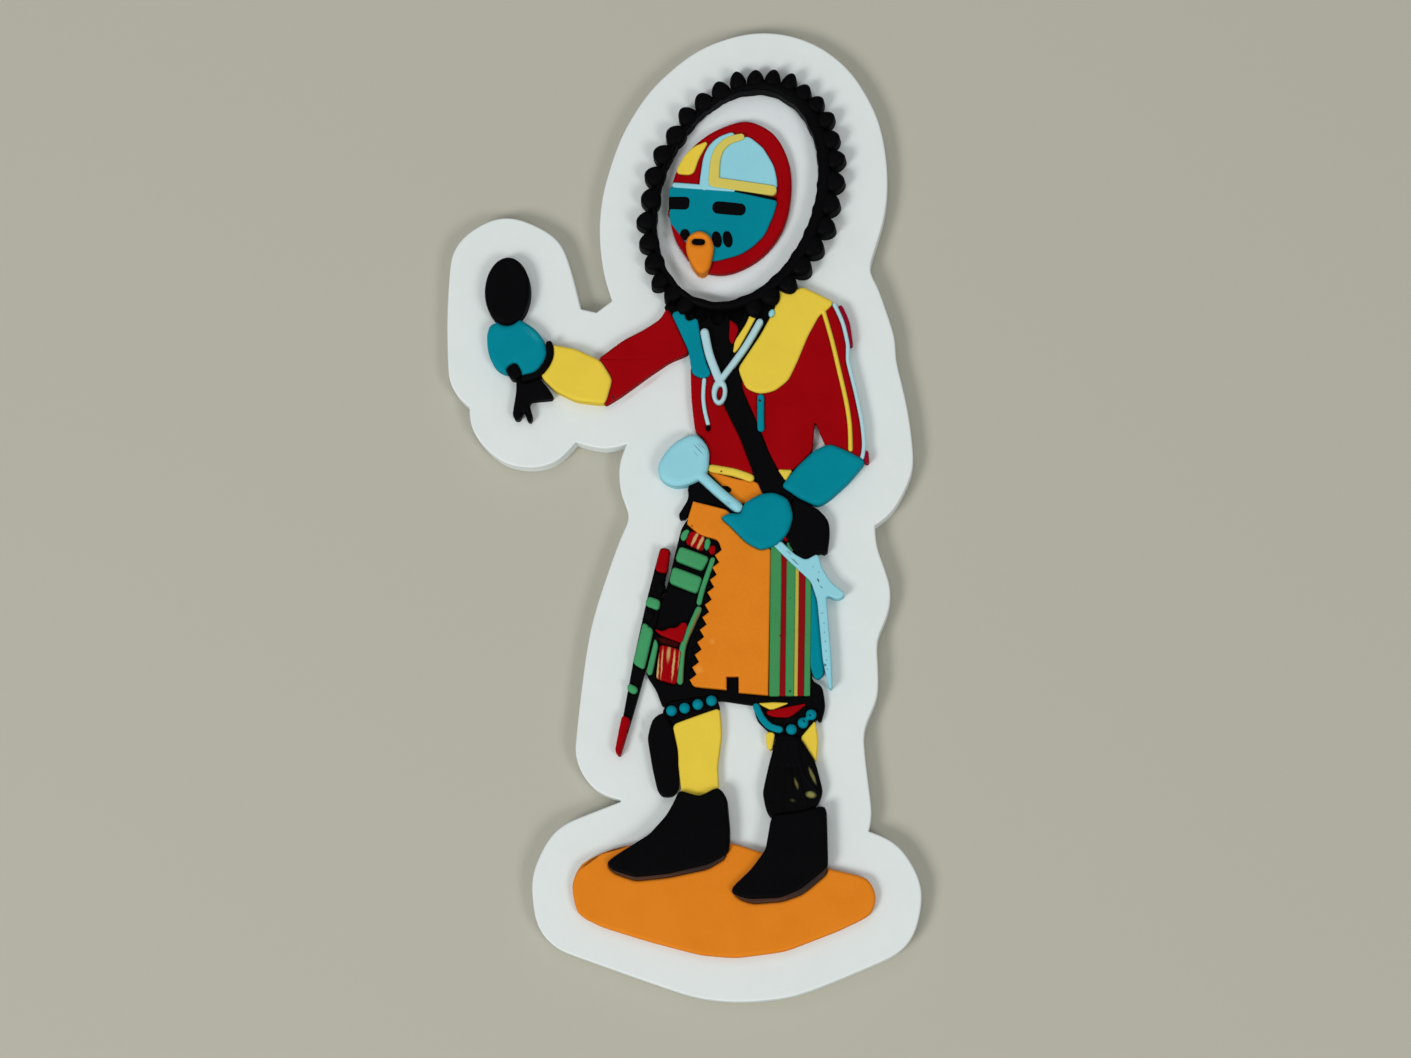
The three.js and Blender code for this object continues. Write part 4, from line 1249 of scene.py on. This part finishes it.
@dataclass
class Chest(Assembly):
    """Neck, scarf, vest and what hangs on them."""

    fields: tuple[Field, ...] = (
        Field("chest_ground", BLACK, ((0.6, 4.3, 0.6),), Shoulder.FINE),
        Field("neck", BLACK, ((0.8, 4.8, 18.6), (0.8, -1.4, 21.8), (0.8, 0.6, 20.8)), Shoulder.FINE),
        Field("scarf", TEAL, ((1.3, 0.8, 17.8),)),
        Field("lining", RED, ((1.0, 4.9, 19.1), (1.0, 3.6, 12.6)), Shoulder.FINE),
        Field("collar", YELLOW, ((1.2, 6.0, 18.9),)),
        Field("stud", SKY, ((1.3, 8.85, 20.95),), Shoulder.SOFT),
        Field("necklace", PALE_SKY, ((1.5, 2.5, 16.8),), Shoulder.SOFT),
        Field("vest", RED, ((1.0, 12.7, 11.7), (1.0, 3.3, 9.0)), Shoulder.CRISP),
        Field("yoke", YELLOW, ((1.2, 10.6, 17.5),), Shoulder.SOFT),
        Field("piping", PALE_SKY, ((1.25, 16.9, 13.8),), Shoulder.CRISP),
        Field("trims", CRIMSON, ((1.1, 16.4, 19.7), (1.1, 18.25, 5.75))),
        Field("tab", TAB_TEAL, ((1.3, 7.7, 10.5),)),
        Field("cord", PALE_SKY, ((1.2, 2.0, 11.8),)),
        Field("cord_end", BLACK, ((1.25, 2.4, 9.05),), Shoulder.FINE),
        Field("strap", BLACK, ((1.1, 6.95, 7.75),)),
    )


@dataclass
class RaisedArm(Assembly):
    """The arm that holds up the rattle."""

    fields: tuple[Field, ...] = (
        Field("sleeve", SLEEVE_RED, ((1.1, -4.2, 16.9),), Shoulder.SOFT),
        Field("cuff", YELLOW, ((1.3, -10.8, 14.7),), Shoulder.SOFT, corner=80.0),
        Field("raised_hand", HAND_TEAL, ((1.4, -17.1, 18.0),), Shoulder.ROUND),
        Field("wristband", BLACK, ((1.5, -14.1, 15.9), (1.5, -17.3, 15.3)), Shoulder.SOFT),
        Field("wrist_tassel", BLACK, ((1.1, -15.8, 12.7),), Shoulder.SOFT),
        Field("rattle", BLACK, ((1.6, -18.1, 23.8),), Shoulder.ROUND),
    )


@dataclass
class Waist(Assembly):
    """Belt, gourd, bag and the hand in front."""

    fields: tuple[Field, ...] = (
        Field("waist", ORANGE, ((0.9, 5.5, 2.9),)),
        Field("belt", PITTED_YELLOW, ((1.15, 4.7, 4.4), (1.15, 10.1, 4.2)), Shoulder.SOFT),
        Field("eyelet", BLACK, ((1.0, 4.2, 2.8),)),
        Field("gourd_shade", BLACK, ((0.8, 1.5, 1.8),)),
        Field("gourd", GOURD_SKY, ((1.6, 0.8, 4.8),), Shoulder.ROUND),
        Field("bag", BLACK, ((1.2, 12.3, -1.7),), Shoulder.SOFT, corner=25.0),
        Field("front_cuff", TEAL, ((1.4, 13.9, 4.1),), Shoulder.ROUND),
        Field("front_hand", TEAL, ((1.8, 7.8, -0.6),), Shoulder.ROUND),
    )


@dataclass
class Kilt(Assembly):
    """The apron with its toothed edge, the stripes and the hanging feather."""

    fields: tuple[Field, ...] = (
        Field("kilt_ground", SHADED_BEVEL_BLACK, ((0.7, -1.5, -10.0),)),
        Field("apron", APRON_ORANGE, ((1.2, 4.9, -9.5),)),
        Field(
            "stripes_green",
            STRIPE_GREEN,
            ((1.1, 9.0, -10.8), (1.1, 10.5, -11.6), (1.0, 12.2, -12.4)),
            Shoulder.FINE,
            spread=0.09,
        ),
        Field("stripes_red", STRIPE_RED, ((1.0, 9.8, -11.2), (1.1, 11.6, -12.1)), Shoulder.FINE, spread=0.09),
        Field("stripe_yellow", DULL_YELLOW, ((1.0, 11.1, -11.9),), Shoulder.FINE, spread=0.09),
        Field("under_stripe", TEAL, ((0.9, 13.0, -12.7),)),
        Field("feather", FEATHER_SKY, ((1.4, 13.9, -11.0),)),
        Field("front_knot_red", RED, ((1.1, 10.1, -2.5),), Shoulder.FINE),
        Field("front_knot_green", GREEN, ((1.0, 10.5, -3.3),), Shoulder.FINE),
    )


@dataclass
class Sash(Assembly):
    """The staff and the knotted sash at the figure's side."""

    fields: tuple[Field, ...] = (
        Field("staff", BLACK, ((0.8, -3.85, -12.3),)),
        Field("staff_red", RED, ((1.2, -6.1, -21.9), (1.2, -2.1, -4.5)), Shoulder.SOFT),
        Field(
            "staff_green",
            GREEN,
            ((1.2, -4.0, -13.1), (1.2, -3.1, -8.8), (1.2, -5.1, -17.4)),
            Shoulder.SOFT,
        ),
        Field("knot_red", KNOT_RED, ((1.1, 1.2, -2.5), (1.1, 2.8, -3.5))),
        Field("knot_green", GREEN, ((1.0, 0.1, -1.9), (1.0, 2.3, -2.9))),
        Field("sash_bars", GREEN, ((1.3, 0.1, -6.5), (1.3, 0.8, -4.4)), Shoulder.SOFT),
        Field("sash_edges", EDGE_GREEN, ((1.15, 0.3, -12.9), (1.15, 2.1, -6.6), (1.15, -3.1, -14.2))),
        Field("sash_step", RED, ((1.2, -0.9, -11.8),), corner=12.0),
        Field("sash_block", STREAKED_RED, ((1.2, -1.5, -15.0),)),
    )


@dataclass
class Diamonds:
    """Small raised diamonds of black: a row between the apron's teeth, and two on the staff."""

    top: Place = (3.8, -3.2)
    foot: Place = (1.05, -17.0)
    teeth: int = 11
    tall: float = 0.62
    wide: float = 0.5
    rise: float = 1.15
    staff: tuple[Place, ...] = ((-2.4, -7.2), (-3.4, -9.95))
    staff_tall: float = 0.95
    staff_wide: float = 0.5
    staff_rise: float = 1.1

    def build(self) -> None:
        """Casts all of them as one piece."""
        casting = Casting(Shoulder.ROUND)
        top, foot = Vector(self.top), Vector(self.foot)
        down = (foot - top).normalized()
        out = Vector((down.y, -down.x))
        for k in range(self.teeth):
            valley = top.lerp(foot, (2 * k + 0.5) / (2 * self.teeth))
            middle = valley + out * self.wide
            self.diamond(casting, middle, down * self.tall, out * self.wide, self.rise)
        for spot in self.staff:
            along, across = down * self.staff_tall, out * self.staff_wide
            self.diamond(casting, Vector(spot), along, across, self.staff_rise)
        casting.release("diamonds", BLACK)

    @staticmethod
    def diamond(casting: Casting, middle: Vector, along: Vector, across: Vector, rise: float) -> None:
        """Casts one diamond, given from its middle to its lower and left corners."""
        corners = [in_frame(middle) + side for side in (along, -across, -along, across)]
        casting.pour([Outline.drawn(corners)], rise)


@dataclass
class Legs(Assembly):
    """Knees, beads, shins, tassels and boots."""

    fields: tuple[Field, ...] = (
        Field("left_knee", BLACK, ((0.8, 0.4, -19.6),)),
        Field(
            "beads",
            TEAL,
            (
                (1.3, -1.25, -19.6),
                (1.3, 0.05, -19.35),
                (1.3, 1.35, -19.0),
                (1.3, 2.7, -18.65),
                (1.3, 10.55, -21.6),
                (1.3, 12.1, -20.55),
            ),
            Shoulder.ROUND,
            spread=-0.08,
        ),
        Field("left_shin", YELLOW, ((1.0, 1.5, -23.8),)),
        Field("garter", BLACK, ((1.2, -2.0, -24.1),), Shoulder.SOFT),
        Field("knee_fan", RED, ((1.0, 10.0, -19.8),)),
        Field("knee_band", TEAL, ((1.1, 8.1, -20.6),)),
        Field("back_shin", YELLOW, ((0.9, 12.5, -22.7), (0.9, 8.7, -19.1), (0.9, 8.5, -22.6))),
        Field("tuft", TUFT_BLACK, ((1.25, 10.6, -27.5),), Shoulder.SOFT, filled=True),
        Field("tuft_locks", TUFT_BLACK, ((1.4, 10.4, -26.1),), Shoulder.SOFT, sink=0.07),
        Field("soles", BROWN, ((1.3, 10.1, -37.5), (1.3, -1.3, -35.4)), Shoulder.FINE),
        Field("boots", BLACK, ((1.7, -0.2, -32.2), (1.7, 10.2, -34.1)), Shoulder.SOFT, spread=0.12),
        Field("base", BASE_ORANGE, ((1.0, 3.2, -38.9),), Shoulder.SOFT),
    )


@dataclass
class Studio:
    """Floor, soft light and the camera over the souvenir."""

    eye: Triple = (23.1008, -70.3270, 293.6349)
    target: Triple = (2.7077, -2.9977, 2.0)
    focal_px: float = 3000.0
    frame_px: tuple[int, int] = (1411, 1058)
    sensor: float = 36.0
    floor_side: float = 6.0
    floor_colour: Colour = (0.47, 0.455, 0.375)
    floor_roughness: float = 0.6
    sky_colour: Colour = (0.96, 0.98, 1.0)
    sky_strength: float = 0.34
    near: float = 0.001  # metres from the eye at which the camera starts to see
    lights: tuple[tuple[str, Triple, float, float], ...] = (
        ("window", (-0.58, -0.54, 0.76), 0.34, 5.8),
        ("lamp", (0.94, -0.83, 1.19), 0.50, 7.8),
        ("ceiling", (-0.05, 0.25, 0.46), 0.27, 0.24),
    )

    def build(self) -> None:
        """Sets up the floor, the lights and the camera."""
        bpy.context.scene.view_settings.view_transform = "Standard"
        self.floor()
        self.sky()
        for name, place, side, power in self.lights:
            self.light(name, Vector(place), side, power)
        self.camera()

    def floor(self) -> None:
        """A plain pale floor, just under the souvenir."""
        mesh = bmesh.new()
        bmesh.ops.create_grid(mesh, x_segments=1, y_segments=1, size=self.floor_side / 2)
        data = bpy.data.meshes.new("floor")
        mesh.to_mesh(data)
        mesh.free()
        material = bpy.data.materials.new("floor")
        material.use_nodes = True
        shader = material.node_tree.nodes["Principled BSDF"]
        shader.inputs["Base Color"].default_value = (*self.floor_colour, 1.0)
        shader.inputs["Roughness"].default_value = self.floor_roughness
        data.materials.append(material)
        plane = bpy.data.objects.new("floor", data)
        bpy.context.scene.collection.objects.link(plane)

    def sky(self) -> None:
        """An even, dim light from all around."""
        world = bpy.data.worlds.new("studio")
        world.use_nodes = True
        shade = world.node_tree.nodes["Background"]
        shade.inputs["Color"].default_value = (*self.sky_colour, 1.0)
        shade.inputs["Strength"].default_value = self.sky_strength
        bpy.context.scene.world = world

    def light(self, name: str, place: Vector, side: float, power: float) -> None:
        """One square soft light that looks at the souvenir.

        Args:
            name: What it is called.
            place: Where it hangs, in metres.
            side: Its side, in metres.
            power: Its power in watts.
        """
        data = bpy.data.lights.new(name, "AREA")
        data.size = side
        data.energy = power
        lamp = bpy.data.objects.new(name, data)
        lamp.location = place
        lamp.rotation_euler = (-place).to_track_quat("-Z", "Y").to_euler()
        bpy.context.scene.collection.objects.link(lamp)

    def camera(self) -> None:
        """The camera that looks down on the souvenir, with the figure's height up the picture."""
        eye, target = Vector(self.eye) * MM, Vector(self.target) * MM
        back = (eye - target).normalized()
        right = Vector((0.0, 1.0, 0.0)).cross(back).normalized()
        up = back.cross(right)
        data = bpy.data.cameras.new("camera")
        data.sensor_fit = "HORIZONTAL"
        data.sensor_width = self.sensor
        data.lens = self.sensor * self.focal_px / self.frame_px[0]
        data.clip_start = self.near
        camera = bpy.data.objects.new("camera", data)
        axes = Matrix((right, up, back)).transposed().to_4x4()
        camera.matrix_world = Matrix.Translation(eye) @ axes
        bpy.context.scene.collection.objects.link(camera)
        bpy.context.scene.camera = camera


def main() -> None:
    """Builds the studio, the backing and every field of the figure."""
    logging.basicConfig(level=logging.INFO, format="%(name)s: %(message)s")
    Studio().build()
    relief = Relief(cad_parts[NODE])
    ruff = Ruff()
    Backing().build(relief, ruff)
    ruff.build(relief)
    assemblies = (Head(), Chest(), RaisedArm(), Waist(), Kilt(), Sash(), Legs())
    fields = [f for assembly in assemblies for f in assembly.fields]
    shares = relief.share_out(fields)
    for assembly in assemblies:
        assembly.build(shares)
    Diamonds().build()


if __name__ == "__main__":
    main()
